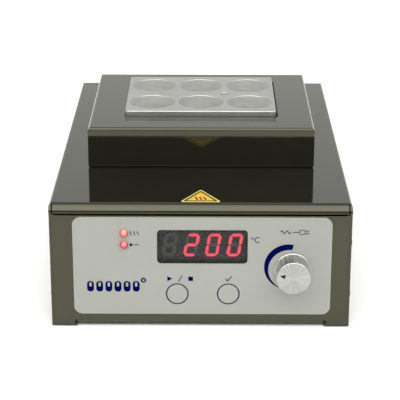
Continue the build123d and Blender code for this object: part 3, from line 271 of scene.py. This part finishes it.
def smoked_acrylic():
    """Dark see-through window: a glossy face with a few hairline wipe marks."""
    colour = (0.014, 0.015, 0.015)
    material, tree, shader = start_material("smoked_window", colour, 0.06, Alpha=0.34)
    wipes = noise(tree, 900, 2.0, place(tree, (0.08, 1.0, 1.0), (0, 0.35, 0)))
    tree.links.new(spread(tree, wipes, 0.035, 0.1), shader.inputs["Roughness"])
    skin = blend(tree, noise(tree, 60), tint(colour, 0.8), tint(colour, 1.2))
    tree.links.new(skin, shader.inputs["Base Color"])
    return material


def glowing(name, colour, core, strength, roughness=0.25, grain=700):
    """Lit plastic: the glow is palest where the noise is high, as in diffusing resin."""
    glow = {"Emission Strength": strength}
    material, tree, shader = start_material(name, tint(colour, 0.5), roughness, **glow)
    speck = noise(tree, grain, 2.0)
    tree.links.new(blend(tree, speck, colour, core), shader.inputs["Emission Color"])
    tree.links.new(relief(tree, speck, 3e-6), shader.inputs["Normal"])
    return material


def lamp_lens(name, node, rim, core, strength):
    """LED lens lit from within: palest above the middle and deeper coloured below; the raised pale spot is a
    painted highlight.
    """
    material, tree, shader = start_material(
        name,
        tint(rim, 0.35),
        0.16,
        **{"Emission Strength": strength, "Coat Weight": 0.5, "Coat Roughness": 0.05},
    )
    low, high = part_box(node)
    reach = (high.x - low.x) / 2 * 5 / 5.8
    # Painted highlight: the glow's pale centre is raised above the lens's middle to stand for a reflection on
    # the dome's top.
    axis = (low + high) / 2 + Vector((0, 0, 0.5 * reach))
    position = add(tree, "ShaderNodeTexCoord").outputs["Object"]
    offset = add(tree, "ShaderNodeVectorMath", {0: position, 1: axis}, operation="SUBTRACT").outputs[0]
    across = add(tree, "ShaderNodeVectorMath", {0: offset, 1: (1, 0, 1)}, operation="MULTIPLY").outputs[0]
    radius = add(tree, "ShaderNodeVectorMath", {0: across}, operation="LENGTH").outputs["Value"]
    sockets = {"Value": radius, "From Min": 0.1 * reach, "From Max": 1.05 * reach}
    share = add(tree, "ShaderNodeMapRange", sockets, interpolation_type="SMOOTHSTEP").outputs["Result"]
    clouded = math_node(tree, "ADD", share, spread(tree, noise(tree, 1500), -0.06, 0.06))
    glow = add(
        tree,
        "ShaderNodeMix",
        {"Factor": clouded, "A": (*core, 1.0), "B": (*rim, 1.0)},
        data_type="RGBA",
        clamp_factor=True,
    ).outputs["Result"]
    tree.links.new(glow, shader.inputs["Emission Color"])
    return material


def printed(name, colour, roughness=0.5, **sockets):
    """Screen-printed ink: slightly uneven cover and gloss."""
    material, tree, shader = start_material(name, colour, roughness, **sockets)
    cover = noise(tree, 2400, 2.0)
    tree.links.new(blend(tree, cover, tint(colour, 0.85), tint(colour, 1.18)), shader.inputs["Base Color"])
    tree.links.new(spread(tree, cover, roughness - 0.06, roughness + 0.08), shader.inputs["Roughness"])
    tree.links.new(relief(tree, cover, 2e-6), shader.inputs["Normal"])
    return material


def striped(name, colour, other, axis, pitch, roughness=0.45):
    """Material with regular lines across one axis, such as ribbon cores or stacked laminations."""
    material, tree, shader = start_material(name, colour, roughness)
    position = add(tree, "ShaderNodeTexCoord").outputs["Object"]
    along = add(tree, "ShaderNodeSeparateXYZ", {0: position}).outputs[axis]
    wave = math_node(tree, "SINE", math_node(tree, "MULTIPLY", along, 2 * math.pi / pitch))
    sockets = {"Value": wave, "From Min": -0.9, "From Max": 0.4}
    share = add(tree, "ShaderNodeMapRange", sockets).outputs["Result"]
    mixed = add(
        tree,
        "ShaderNodeMix",
        {"Factor": share, "A": (*other, 1.0), "B": (*colour, 1.0)},
        data_type="RGBA",
    ).outputs["Result"]
    tree.links.new(mixed, shader.inputs["Base Color"])
    rough = spread(tree, noise(tree, 800), roughness - 0.06, roughness + 0.08)
    tree.links.new(rough, shader.inputs["Roughness"])
    tree.links.new(relief(tree, share, 0.12 * pitch), shader.inputs["Normal"])
    return material


def solder_mask():
    """Printed board: green mask over copper tracks that run in straight branching lines."""
    material, tree, shader = start_material("circuit_board", (0.012, 0.12, 0.045), 0.3)
    tracks = add(
        tree,
        "ShaderNodeTexBrick",
        {
            "Vector": place(tree, (1, 1, 1)),
            "Scale": 300.0,
            "Mortar Size": 0.03,
            "Color1": (0.010, 0.105, 0.040, 1.0),
            "Color2": (0.013, 0.130, 0.050, 1.0),
            "Mortar": (0.035, 0.230, 0.090, 1.0),
        },
    )
    tree.links.new(tracks.outputs["Color"], shader.inputs["Base Color"])
    tree.links.new(relief(tree, tracks.outputs["Fac"], 3.5e-5), shader.inputs["Normal"])
    tree.links.new(spread(tree, noise(tree, 500), 0.22, 0.36), shader.inputs["Roughness"])
    return material


def fibre_wool():
    """Mineral-fibre insulation: matted strands and soft lumps."""
    colour = (0.70, 0.68, 0.60)
    material, tree, shader = start_material("wrap_fibre", colour, 0.95, **{"Sheen Weight": 0.3})
    strands = noise(tree, 1300, 6.0, place(tree, (1.0, 0.25, 1.0), (0.3, 0.2, 0.6)))
    tree.links.new(blend(tree, strands, tint(colour, 0.72), tint(colour, 1.15)), shader.inputs["Base Color"])
    tree.links.new(relief(tree, strands, 2.5e-4), shader.inputs["Normal"])
    return material


def wire_sheath(name, bands):
    """Insulated leads, coloured by where each one runs: bands are (axis, limit, below, above) colours."""
    axis, limit, below, above = bands
    material, tree, shader = start_material(name, below, 0.4)
    position = add(tree, "ShaderNodeTexCoord").outputs["Object"]
    where = add(tree, "ShaderNodeSeparateXYZ", {0: position}).outputs[axis]
    share = math_node(tree, "GREATER_THAN", where, limit)
    mixed = add(
        tree, "ShaderNodeMix", {"Factor": share, "A": (*below, 1.0), "B": (*above, 1.0)}, data_type="RGBA"
    ).outputs["Result"]
    tree.links.new(mixed, shader.inputs["Base Color"])
    tree.links.new(spread(tree, noise(tree, 900), 0.34, 0.5), shader.inputs["Roughness"])
    tree.links.new(relief(tree, noise(tree, 2500), 4e-6), shader.inputs["Normal"])
    return material


steel = metal("zinc_steel", (0.50, 0.50, 0.49), 0.34, grain=1500)
black_screw = metal("black_screw", (0.035, 0.035, 0.034), 0.36, grain=1500, vary=0.2)
casting = metal("heater_casting", (0.52, 0.52, 0.53), 0.4, (1.0, 0.05, 1.0), depth=6e-6)
bent_sheet = metal("bent_aluminium", (0.62, 0.63, 0.64), 0.3, (0.04, 1.0, 1.0))
brass = metal("brass_parts", (0.70, 0.52, 0.24), 0.26, grain=1600)
black_plastic = moulded("black_moulding", (0.019, 0.019, 0.019), 0.44)
grey_plastic = moulded("grey_moulding", (0.21, 0.22, 0.23), 0.4)
green_plastic = moulded("green_moulding", (0.04, 0.24, 0.09), 0.4)
yellow_box = moulded("yellow_film_part", (0.72, 0.47, 0.05), 0.28, depth=3e-6)
rubber = moulded("foot_rubber", (0.022, 0.022, 0.022), 0.78, 1200, 1.6e-5)
display_resin = moulded("display_body", (0.020, 0.020, 0.020), 0.5)
ceramic = moulded("ceramic_white", (0.78, 0.76, 0.70), 0.62, 2600, 8e-6, 0.06)
film = moulded("marker_film", (0.62, 0.55, 0.11), 0.24, 2000, 2e-6, 0.05, **{"Coat Weight": 0.3})
fuse = moulded("fuse_glass", (0.62, 0.66, 0.66), 0.12, vary=0.05)
paint = lacquer()
block = milled_block()
silver = overlay_film()

material_of = {
    "block_insert": block,
    "heater_well": casting,
    "front_overlay": silver,
    "start_stop_button": silver,
    "set_button": silver,
    "control_knob": spun_knob(),
    "display_window": smoked_acrylic(),
    "led_display": display_resin,
    "hot_led": lamp_lens("hot_lens", "hot_led", (0.50, 0.04, 0.010), (1.0, 0.58, 0.48), 0.85),
    "run_led": lamp_lens("run_lens", "run_led", (0.42, 0.012, 0.030), (0.95, 0.38, 0.42), 0.85),
    "heat_marker": film,
    "rubber_feet": rubber,
    "fuses": fuse,
    "transformer": striped("transformer_core", (0.16, 0.15, 0.14), (0.05, 0.045, 0.04), "Z", 0.0007),
    "ribbon_cable": striped("grey_ribbon", (0.36, 0.36, 0.36), (0.16, 0.16, 0.16), "X", 0.00127),
    "earth_lead": wire_sheath("earth_sheath", ("Y", 0.0, (0.05, 0.30, 0.06), (0.55, 0.50, 0.04))),
    "heater_leads": wire_sheath("heater_sheath", ("Y", 0.0, (0.62, 0.60, 0.55), (0.56, 0.54, 0.48))),
    "mains_leads": wire_sheath("mains_sheath", ("Z", 0.042, (0.02, 0.06, 0.28), (0.16, 0.07, 0.03))),
    "probe_lead": wire_sheath("probe_sheath", ("Y", 0.0, (0.20, 0.21, 0.22), (0.24, 0.25, 0.26))),
}
groups = [
    (paint, "chassis_tray top_cover tower_cover"),
    (steel, "potentiometer_shaft potentiometer_body potentiometer_nut potentiometer_washer"),
    (steel, "board_standoffs board_screws inlet_screws inlet_nuts cartridge_heaters"),
    (steel, "temperature_probe well_standoffs well_bolts cutout_screws"),
    (black_screw, "housing_screws knob_grub_screw"),
    (bent_sheet, "heat_shield triac_heatsink"),
    (brass, "inlet_blades switch_terminals earth_nut"),
    (black_plastic, "microcontroller tact_switches start_stop_plunger set_plunger ribbon_headers"),
    (black_plastic, "mains_inlet fuse_drawer switch_housing mains_rocker triac"),
    (green_plastic, "terminal_block"),
    (yellow_box, "filter_capacitor"),
    (ceramic, "ceramic_spacers thermal_cutout"),
    (solder_mask(), "control_board power_board"),
    (fibre_wool(), "insulation_wrap insulation_board"),
]
for material, names in groups:
    for name in names.split():
        material_of[name] = material

for name, piece in nodes.items():
    for slot in piece.material_slots:
        slot.material = material_of[name]


# ---------------------------------------------------------------- outlines, in millimetres
def polygon(*points):
    return [[Vector(point) for point in points]]


def circle(x, y, radius, steps=64):
    turns = [2 * math.pi * step / steps for step in range(steps)]
    return [Vector((x + radius * math.cos(turn), y + radius * math.sin(turn))) for turn in turns]


def disc(x, y, radius):
    return [circle(x, y, radius)]


def ring(x, y, outer, inner):
    return [circle(x, y, outer), circle(x, y, inner)]


def rounded(x, y, width, height, radius, steps=8):
    """One closed outline: a rectangle centred on (x, y) with rounded corners."""
    outline = []
    for quarter, (across, up) in enumerate(((1, 1), (-1, 1), (-1, -1), (1, -1))):
        corner = Vector((x + across * (width / 2 - radius), y + up * (height / 2 - radius)))
        for step in range(steps + 1):
            turn = math.pi / 2 * (quarter + step / steps)
            outline.append(corner + radius * Vector((math.cos(turn), math.sin(turn))))
    return outline


def stroke(points, width):
    """Outline of a pen line of this width through the points, with square-cut ends."""
    points = [Vector(point) for point in points]
    left, right = [], []
    for index, point in enumerate(points):
        before = point - points[max(index - 1, 0)]
        after = points[min(index + 1, len(points) - 1)] - point
        ahead = (before.normalized() + after.normalized()).normalized()
        side = Vector((-ahead.y, ahead.x))
        stretch = 1 / max(side.dot(Vector((-after.y, after.x)).normalized() if after.length else side), 0.5)
        left.append(point + side * stretch * width / 2)
        right.append(point - side * stretch * width / 2)
    return [left + right[::-1]]


def arc(x, y, radius, start, end, steps=24):
    """Points along a circular arc, with its angles in degrees."""
    turns = [math.radians(start + (end - start) * step / steps) for step in range(steps + 1)]
    return [(x + radius * math.cos(turn), y + radius * math.sin(turn)) for turn in turns]


def wave(x, y, height, sway, steps=16):
    """Points along an upright wavy line centred on (x, y)."""
    shares = [step / steps for step in range(steps + 1)]
    return [(x + sway * math.sin(2 * math.pi * share), y + height * (share - 0.5)) for share in shares]


def shifted(outlines, x, y):
    return [[point + Vector((x, y)) for point in outline] for outline in outlines]


# ---------------------------------------------------------------- flat pieces on a surface
def surface(origin, across, up):
    """Placing matrix: local x runs along across, local y along up, local z out of the surface."""
    across, up = Vector(across).normalized(), Vector(up).normalized()
    out = across.cross(up)
    turn = Matrix((across, up, out)).transposed().to_4x4()
    return Matrix.Translation(origin) @ turn @ Matrix.Diagonal((MM, MM, MM, 1.0))


def flat_piece(name, shapes, placing, thickness, material, body, sunk=0.0):
    """One piece made of filled outlines, thickness millimetres high on the placed surface."""
    vertices, faces = [], []
    for outlines in shapes:
        curve = bpy.data.curves.new(name, "CURVE")
        curve.dimensions = "2D"
        curve.fill_mode = "BOTH"
        curve.extrude = thickness / 2
        for outline in outlines:
            spline = curve.splines.new("POLY")
            spline.points.add(len(outline) - 1)
            for point, at in zip(spline.points, outline):
                point.co = (at.x, at.y, 0.0, 1.0)
            spline.use_cyclic_u = True
        drawn = bpy.data.objects.new(name, curve)
        mesh = bpy.data.meshes.new_from_object(drawn)
        first = len(vertices)
        lift = Vector((0, 0, thickness / 2 - sunk))
        vertices += [placing @ (vertex.co + lift) for vertex in mesh.vertices]
        faces += [[first + corner for corner in face.vertices] for face in mesh.polygons]
        bpy.data.objects.remove(drawn)
        bpy.data.curves.remove(curve)
        bpy.data.meshes.remove(mesh)
    mesh = bpy.data.meshes.new(name)
    mesh.from_pydata(vertices, [], faces)
    mesh.validate()
    mesh.materials.append(material)
    piece = bpy.data.objects.new(name, mesh)
    bpy.context.scene.collection.objects.link(piece)
    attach(piece, body)
    return piece


def middle(node):
    low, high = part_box(node)
    return (low + high) / 2


INK_HEIGHT = 0.03
navy_ink = printed("navy_ink", (0.001, 0.002, 0.052), **{"Specular IOR Level": 0.0})
black_ink = printed("black_ink", (0.008, 0.008, 0.007), **{"Specular IOR Level": 0.2})
orange_ink = printed("orange_ink", (0.60, 0.34, 0.035))
white_ink = printed("white_ink", (0.72, 0.72, 0.70))

panel_low, panel_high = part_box("front_overlay")
panel = surface((0, panel_low.y, 0), (1, 0, 0), (0, 0, 1))
start_key, set_key = middle("start_stop_button") / MM, middle("set_button") / MM
hot, run = middle("hot_led") / MM, middle("run_led") / MM
knob = middle("control_knob") / MM
window = middle("display_window") / MM
window_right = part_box("display_window")[1].x / MM


def on_panel(name, shapes, material=navy_ink):
    return flat_piece(name, shapes, panel, INK_HEIGHT, material, "housing")


# Rings round the keys and the swelling crescent round the knob.
key_radius = (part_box("set_button")[1].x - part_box("set_button")[0].x) / MM / 2 * 6.0 / 7.2
key_rings = [ring(key.x, key.z, key_radius + 0.75, key_radius + 0.22) for key in (start_key, set_key)]
on_panel("key_rings", key_rings)


def crescent():
    """Space between two circles that nearly touch at the tail and part towards the top."""
    outer = arc(knob.x - 2.5, knob.z + 1.95, 14.3, 78, 244, 60)
    inner = arc(knob.x - 1.85, knob.z + 0.2, 12.5, 84, 243, 60)
    return [[Vector(point) for point in outer + inner[::-1]]]


on_panel("knob_scale", [crescent()])

# Pictograms stand where a maker's words would be: heat waves, a running arrow, start and stop, a
# tick, a plug with an alternating wave, and a row of tubes in the lower left corner.
LINE = 0.5
hot_mark = [stroke(wave(hot.x + 3.9 + 2.1 * index, hot.z, 2.6, 0.32), LINE) for index in range(3)]
run_mark = [
    polygon((run.x + 3.4, run.z - 1.2), (run.x + 5.5, run.z), (run.x + 3.4, run.z + 1.2)),
    stroke([(run.x + 6.0, run.z), (run.x + 8.8, run.z)], LINE),
]
on_panel("lamp_marks", hot_mark + run_mark)

MARK_RISE = 9.7
start_z = start_key.z + MARK_RISE
start_x = start_key.x + 1.75
start_mark = [
    polygon((start_x - 7.6, start_z - 1.6), (start_x - 4.6, start_z), (start_x - 7.6, start_z + 1.6)),
    stroke([(start_x - 1.0, start_z - 2.0), (start_x + 1.0, start_z + 2.0)], LINE),
    [rounded(start_x + 6.2, start_z, 2.8, 2.8, 0.25)],
]
set_mark = [
    stroke(
        [
            (set_key.x - 1.7, start_z + 0.1),
            (set_key.x - 0.5, start_z - 1.3),
            (set_key.x + 1.9, start_z + 1.6),
        ],
        0.6,
    )
]
on_panel("key_marks", start_mark + set_mark)

degree_x, degree_z = window_right + 2.75, window.z + 5.2
degree_mark = [
    ring(degree_x, degree_z + 0.2, 0.72, 0.36),
    stroke(arc(degree_x + 3.1, degree_z - 0.7, 1.6, 48, 312), 0.5),
]
on_panel("degree_mark", degree_mark)

MAINS_X, MAINS_Z = 55.0, 60.9
ripple = [(MAINS_X - 8.3 + 0.3 * step, MAINS_Z + 0.9 * math.sin(0.2 * math.pi * step)) for step in range(21)]
mains_mark = [
    stroke(ripple, LINE),
    stroke([(MAINS_X - 1.2, MAINS_Z), (MAINS_X + 2.4, MAINS_Z)], LINE),
    [rounded(MAINS_X + 4.4, MAINS_Z, 3.6, 3.0, 0.7), rounded(MAINS_X + 4.4, MAINS_Z, 2.8, 2.2, 0.4)],
    stroke([(MAINS_X + 6.4, MAINS_Z + 0.75), (MAINS_X + 8.4, MAINS_Z + 0.75)], LINE),
    stroke([(MAINS_X + 6.4, MAINS_Z - 0.75), (MAINS_X + 8.4, MAINS_Z - 0.75)], LINE),
]
on_panel("mains_mark", mains_mark)

TUBE_ROW_X, TUBE_ROW_Z, TUBE_PITCH = -64.95, 26.2, 5.4
tube_row = []
for index in range(6):
    tube_x = TUBE_ROW_X + TUBE_PITCH * index
    outer = rounded(tube_x, TUBE_ROW_Z, 4.1, 6.8, 1.9)
    inner = rounded(tube_x, TUBE_ROW_Z + 1.2, 1.4, 2.7, 0.65)
    tube_row.append([outer, inner])
tube_row.append(ring(-33.6, 30.2, 1.6, 0.7))
on_panel("tube_row_mark", tube_row)

# Painted shadow: a black frame printed on the window's face stands for the shadow gap round the recessed
# window.
window_low, window_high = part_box("display_window")
window_face = surface((0, window_low.y, 0), (1, 0, 0), (0, 0, 1))
window_size = (window_high - window_low) / MM
shadow_frame = [
    rounded(window.x, window.z, window_size.x, window_size.z, 2.3),
    rounded(window.x, window.z, window_size.x - 1.3, window_size.z - 1.3, 1.7),
]
flat_piece("window_shadow_frame", [shadow_frame], window_face, INK_HEIGHT, black_ink, "housing")

# ---------------------------------------------------------------- display digits
DIGIT_PITCH, DIGIT_HEIGHT, DIGIT_WIDTH, SEGMENT = 12.7, 14.7, 8.3, 2.1
SLANT = math.tan(math.radians(10))
CORE, SEGMENT_GAP = 1.15, 0.15
SEGMENTS_OF = {"8": "abcdefg", "2": "abged", "0": "abcdef", " ": ""}
READING = " 200"


def segment(start, end, width):
    """One bar of this width, with pointed ends, between two corners of a digit."""
    start, end = Vector(start), Vector(end)
    ahead = (end - start).normalized()
    side = Vector((-ahead.y, ahead.x)) * width / 2
    start, end = start + ahead * SEGMENT_GAP, end - ahead * SEGMENT_GAP
    inset = ahead * width / 2
    points = [start, start + inset + side, end - inset + side, end, end - inset - side, start + inset - side]
    return [[Vector((point.x + SLANT * point.y, point.y)) for point in points]]


half_width, half_height = (DIGIT_WIDTH - SEGMENT) / 2, (DIGIT_HEIGHT - SEGMENT) / 2
corner_of = {
    "a": ((-half_width, half_height), (half_width, half_height)),
    "b": ((half_width, half_height), (half_width, 0)),
    "c": ((half_width, 0), (half_width, -half_height)),
    "d": ((-half_width, -half_height), (half_width, -half_height)),
    "e": ((-half_width, 0), (-half_width, -half_height)),
    "f": ((-half_width, half_height), (-half_width, 0)),
    "g": ((-half_width, 0), (half_width, 0)),
}
display_low, display_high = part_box("led_display")
RECESS, SEGMENT_THICK = 0.4, 0.25
digit_floor = surface((0, display_low.y + RECESS * MM, 0), (1, 0, 0), (0, 0, 1))
digit_z = window.z + 0.2
lit, lit_cores, unlit = [], [], []
for place_number, figure in enumerate(READING):
    digit_x = window.x + DIGIT_PITCH * (place_number - (len(READING) - 1) / 2)
    for letter, (start, end) in corner_of.items():
        bar = shifted(segment(start, end, SEGMENT), digit_x, digit_z)
        if letter in SEGMENTS_OF[figure]:
            lit.append(bar)
            lit_cores.append(shifted(segment(start, end, CORE), digit_x, digit_z))
        else:
            unlit.append(bar)
    unlit.append(disc(digit_x + 4.5, digit_z - 6.3, 0.6))

lit_resin = glowing("lit_segment", (1.0, 0.004, 0.045), (1.0, 0.01, 0.06), 1.2)
core_resin = glowing("lit_core", (1.0, 0.10, 0.16), (1.0, 0.15, 0.21), 1.6)
unlit_resin = moulded("unlit_segment", (0.105, 0.112, 0.107), 0.5)
flat_piece("lit_segments", lit, digit_floor, SEGMENT_THICK, lit_resin, "housing")
CORE_THICK = SEGMENT_THICK + 0.05
flat_piece("lit_segment_cores", lit_cores, digit_floor, CORE_THICK, core_resin, "housing")
flat_piece("unlit_segments", unlit, digit_floor, SEGMENT_THICK, unlit_resin, "housing")

# ---------------------------------------------------------------- heat marker print
marker_low, marker_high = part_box("heat_marker")
marker = surface((0, 0, marker_high.z), (1, 0, 0), (0, 1, 0))
marker_x = (marker_low.x + marker_high.x) / 2 / MM
marker_base, marker_tip = marker_low.y / MM, marker_high.y / MM
marker_corner = 1.0
marker_reach = (marker_tip - marker_base + marker_corner) * 2 / 3
marker_centre = marker_base + marker_reach / 2


def triangle(reach, corner, steps=6):
    """Rounded equilateral triangle about the marker's centre: reach to its corners before rounding."""
    outline = []
    for start in (90, 210, 330):
        tip = Vector((math.cos(math.radians(start)), math.sin(math.radians(start))))
        centre = Vector((marker_x, marker_centre)) + tip * (reach - 2 * corner)
        for step in range(steps + 1):
            turn = math.radians(start - 60 + 120 * step / steps)
            outline.append(centre + corner * Vector((math.cos(turn), math.sin(turn))))
    return outline


marker_field = [triangle(marker_reach - 3.0, 0.8)]
marker_frame = [triangle(marker_reach - 1.9, 0.9), triangle(marker_reach - 4.5, 0.5)]
marker_waves = [
    stroke(wave(marker_x + 2.5 * index, marker_centre - 1.2, 5.4, 0.6), 1.0) for index in (-1, 0, 1)
]
flat_piece("heat_marker_field", [marker_field], marker, INK_HEIGHT / 2, orange_ink, "housing")
marker_print = [marker_frame, *marker_waves]
flat_piece("heat_marker_print", marker_print, marker, INK_HEIGHT, black_ink, "housing")

# ---------------------------------------------------------------- marks on moving pieces
knob_front = surface((0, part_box("control_knob")[0].y, 0), (1, 0, 0), (0, 0, 1))
POINTER_ANGLE, POINTER_RECESS = math.radians(167), 0.3
heading = Vector((math.cos(POINTER_ANGLE), math.sin(POINTER_ANGLE)))
beside = Vector((-heading.y, heading.x))
pointer_middle = Vector((knob.x, knob.z))
pointer = [[
    pointer_middle + heading * 5.03 - beside * 1.46,
    pointer_middle + heading * 8.23,
    pointer_middle + heading * 5.03 + beside * 1.46,
]]
flat_piece("knob_pointer", [pointer], knob_front, 0.2, black_ink, "knob", POINTER_RECESS)

rocker = BVHTree.FromObject(nodes["mains_rocker"], bpy.context.evaluated_depsgraph_get())
rocker_middle = middle("mains_rocker")


def rocker_surface(height):
    """Placing matrix on the rocker's face, at this height in metres from its middle."""
    behind = Vector((rocker_middle.x, rocker_middle.y + 0.1, rocker_middle.z + height))
    location, normal, _, _ = rocker.ray_cast(behind, Vector((0, -1, 0)))
    across = Vector((-1, 0, 0))
    return surface(location, across, normal.cross(across))


MARK_HEIGHT = 0.0068
MARK_REACH = 2.2
switch_marks = {
    "switch_on_mark": (MARK_HEIGHT, stroke([(0, -MARK_REACH), (0, MARK_REACH)], 0.8)),
    "switch_off_mark": (-MARK_HEIGHT, ring(0, 0, MARK_REACH, 1.5)),
}
for name, (height, outline) in switch_marks.items():
    flat_piece(
        name, [outline], rocker_surface(height), INK_HEIGHT, white_ink, "rocker"
    )

# ---------------------------------------------------------------- studio
FLOOR_HALF = 9.0
floor_mesh = bpy.data.meshes.new("studio_floor")
corners = [(x * FLOOR_HALF, y * FLOOR_HALF, 0) for x, y in ((-1, -1), (1, -1), (1, 1), (-1, 1))]
floor_mesh.from_pydata(corners, [], [(0, 1, 2, 3)])
FLOOR_DARK, FLOOR_PALE = (0.855, 0.855, 0.855), (0.865, 0.865, 0.865)
floor_material, floor_tree, floor_shader = start_material("studio_floor", (0.86, 0.86, 0.86), 0.7)
floor_tint = blend(floor_tree, noise(floor_tree, 3.0), FLOOR_DARK, FLOOR_PALE)
floor_tree.links.new(floor_tint, floor_shader.inputs["Base Color"])
floor_mesh.materials.append(floor_material)
floor = bpy.data.objects.new("studio_floor", floor_mesh)
bpy.context.scene.collection.objects.link(floor)


ROOF, WARMTH, WALL_BLEND = 3.4, 0.97, 0.35
# Light levels by the sine of the elevation, behind the heater and behind the camera.
BACK_WALL = [(0.0, 0.89), (0.27, 0.89), (0.42, 0.71), (0.68, 0.45), (0.94, 0.5), (1.0, 2.4)]
CAMERA_WALL = [(0.0, 0.42), (0.36, 0.42), (0.47, ROOF), (1.0, ROOF)]


def light_ramp(tree, height, stops):
    """Light level along the sine of the elevation, as a share of the roof's level."""
    ramp = add(tree, "ShaderNodeValToRGB", {"Fac": height})
    elements = ramp.color_ramp.elements
    while len(elements) < len(stops):
        elements.new(0.5)
    for element, (place_at, level) in zip(elements, stops):
        element.position = place_at
        element.color = (level / ROOF, level / ROOF, level / ROOF * WARMTH, 1.0)
    return ramp.outputs["Color"]


def studio_sky():
    """Light tent: a pale wall behind, a dimmer one behind the camera and a bright roof that leans forward."""
    world = bpy.data.worlds.new("studio")
    world.use_nodes = True
    tree = world.node_tree
    direction = add(tree, "ShaderNodeTexCoord").outputs["Generated"]
    parts = add(tree, "ShaderNodeSeparateXYZ", {0: direction}).outputs
    sockets = {"Value": parts["Y"], "From Min": -WALL_BLEND, "From Max": WALL_BLEND}
    towards_back = add(tree, "ShaderNodeMapRange", sockets).outputs["Result"]
    walls = {
        "Factor": towards_back,
        "A": light_ramp(tree, parts["Z"], CAMERA_WALL),
        "B": light_ramp(tree, parts["Z"], BACK_WALL),
    }
    light = add(tree, "ShaderNodeMix", walls, data_type="RGBA").outputs["Result"]
    background = tree.nodes["Background"]
    background.inputs["Strength"].default_value = ROOF
    tree.links.new(light, background.inputs["Color"])
    return world


bpy.context.scene.world = studio_sky()

# ---------------------------------------------------------------- camera
CAMERA_PLACE = Vector((0.003195, -0.940702, 0.383942))
PITCH, YAW, ROLL = math.radians(20.380), math.radians(-0.248), math.radians(0.103)
SENSOR, LENS = 36.0, 135.442
ahead = Vector((math.sin(YAW) * math.cos(PITCH), math.cos(YAW) * math.cos(PITCH), -math.sin(PITCH)))
level = Vector((math.cos(YAW), -math.sin(YAW), 0.0))
upright = level.cross(ahead)
right = level * math.cos(ROLL) + upright * math.sin(ROLL)
up = upright * math.cos(ROLL) - level * math.sin(ROLL)
camera_data = bpy.data.cameras.new("camera")
camera_data.sensor_width = SENSOR
camera_data.lens = LENS
camera_data.clip_start = 0.05
camera_data.clip_end = 60.0
camera = bpy.data.objects.new("camera", camera_data)
camera.matrix_world = Matrix.Translation(CAMERA_PLACE) @ Matrix((right, up, -ahead)).transposed().to_4x4()
bpy.context.scene.collection.objects.link(camera)
bpy.context.scene.camera = camera
bpy.context.scene.view_settings.view_transform = "Standard"

# ---------------------------------------------------------------- final update
bpy.context.view_layer.update()
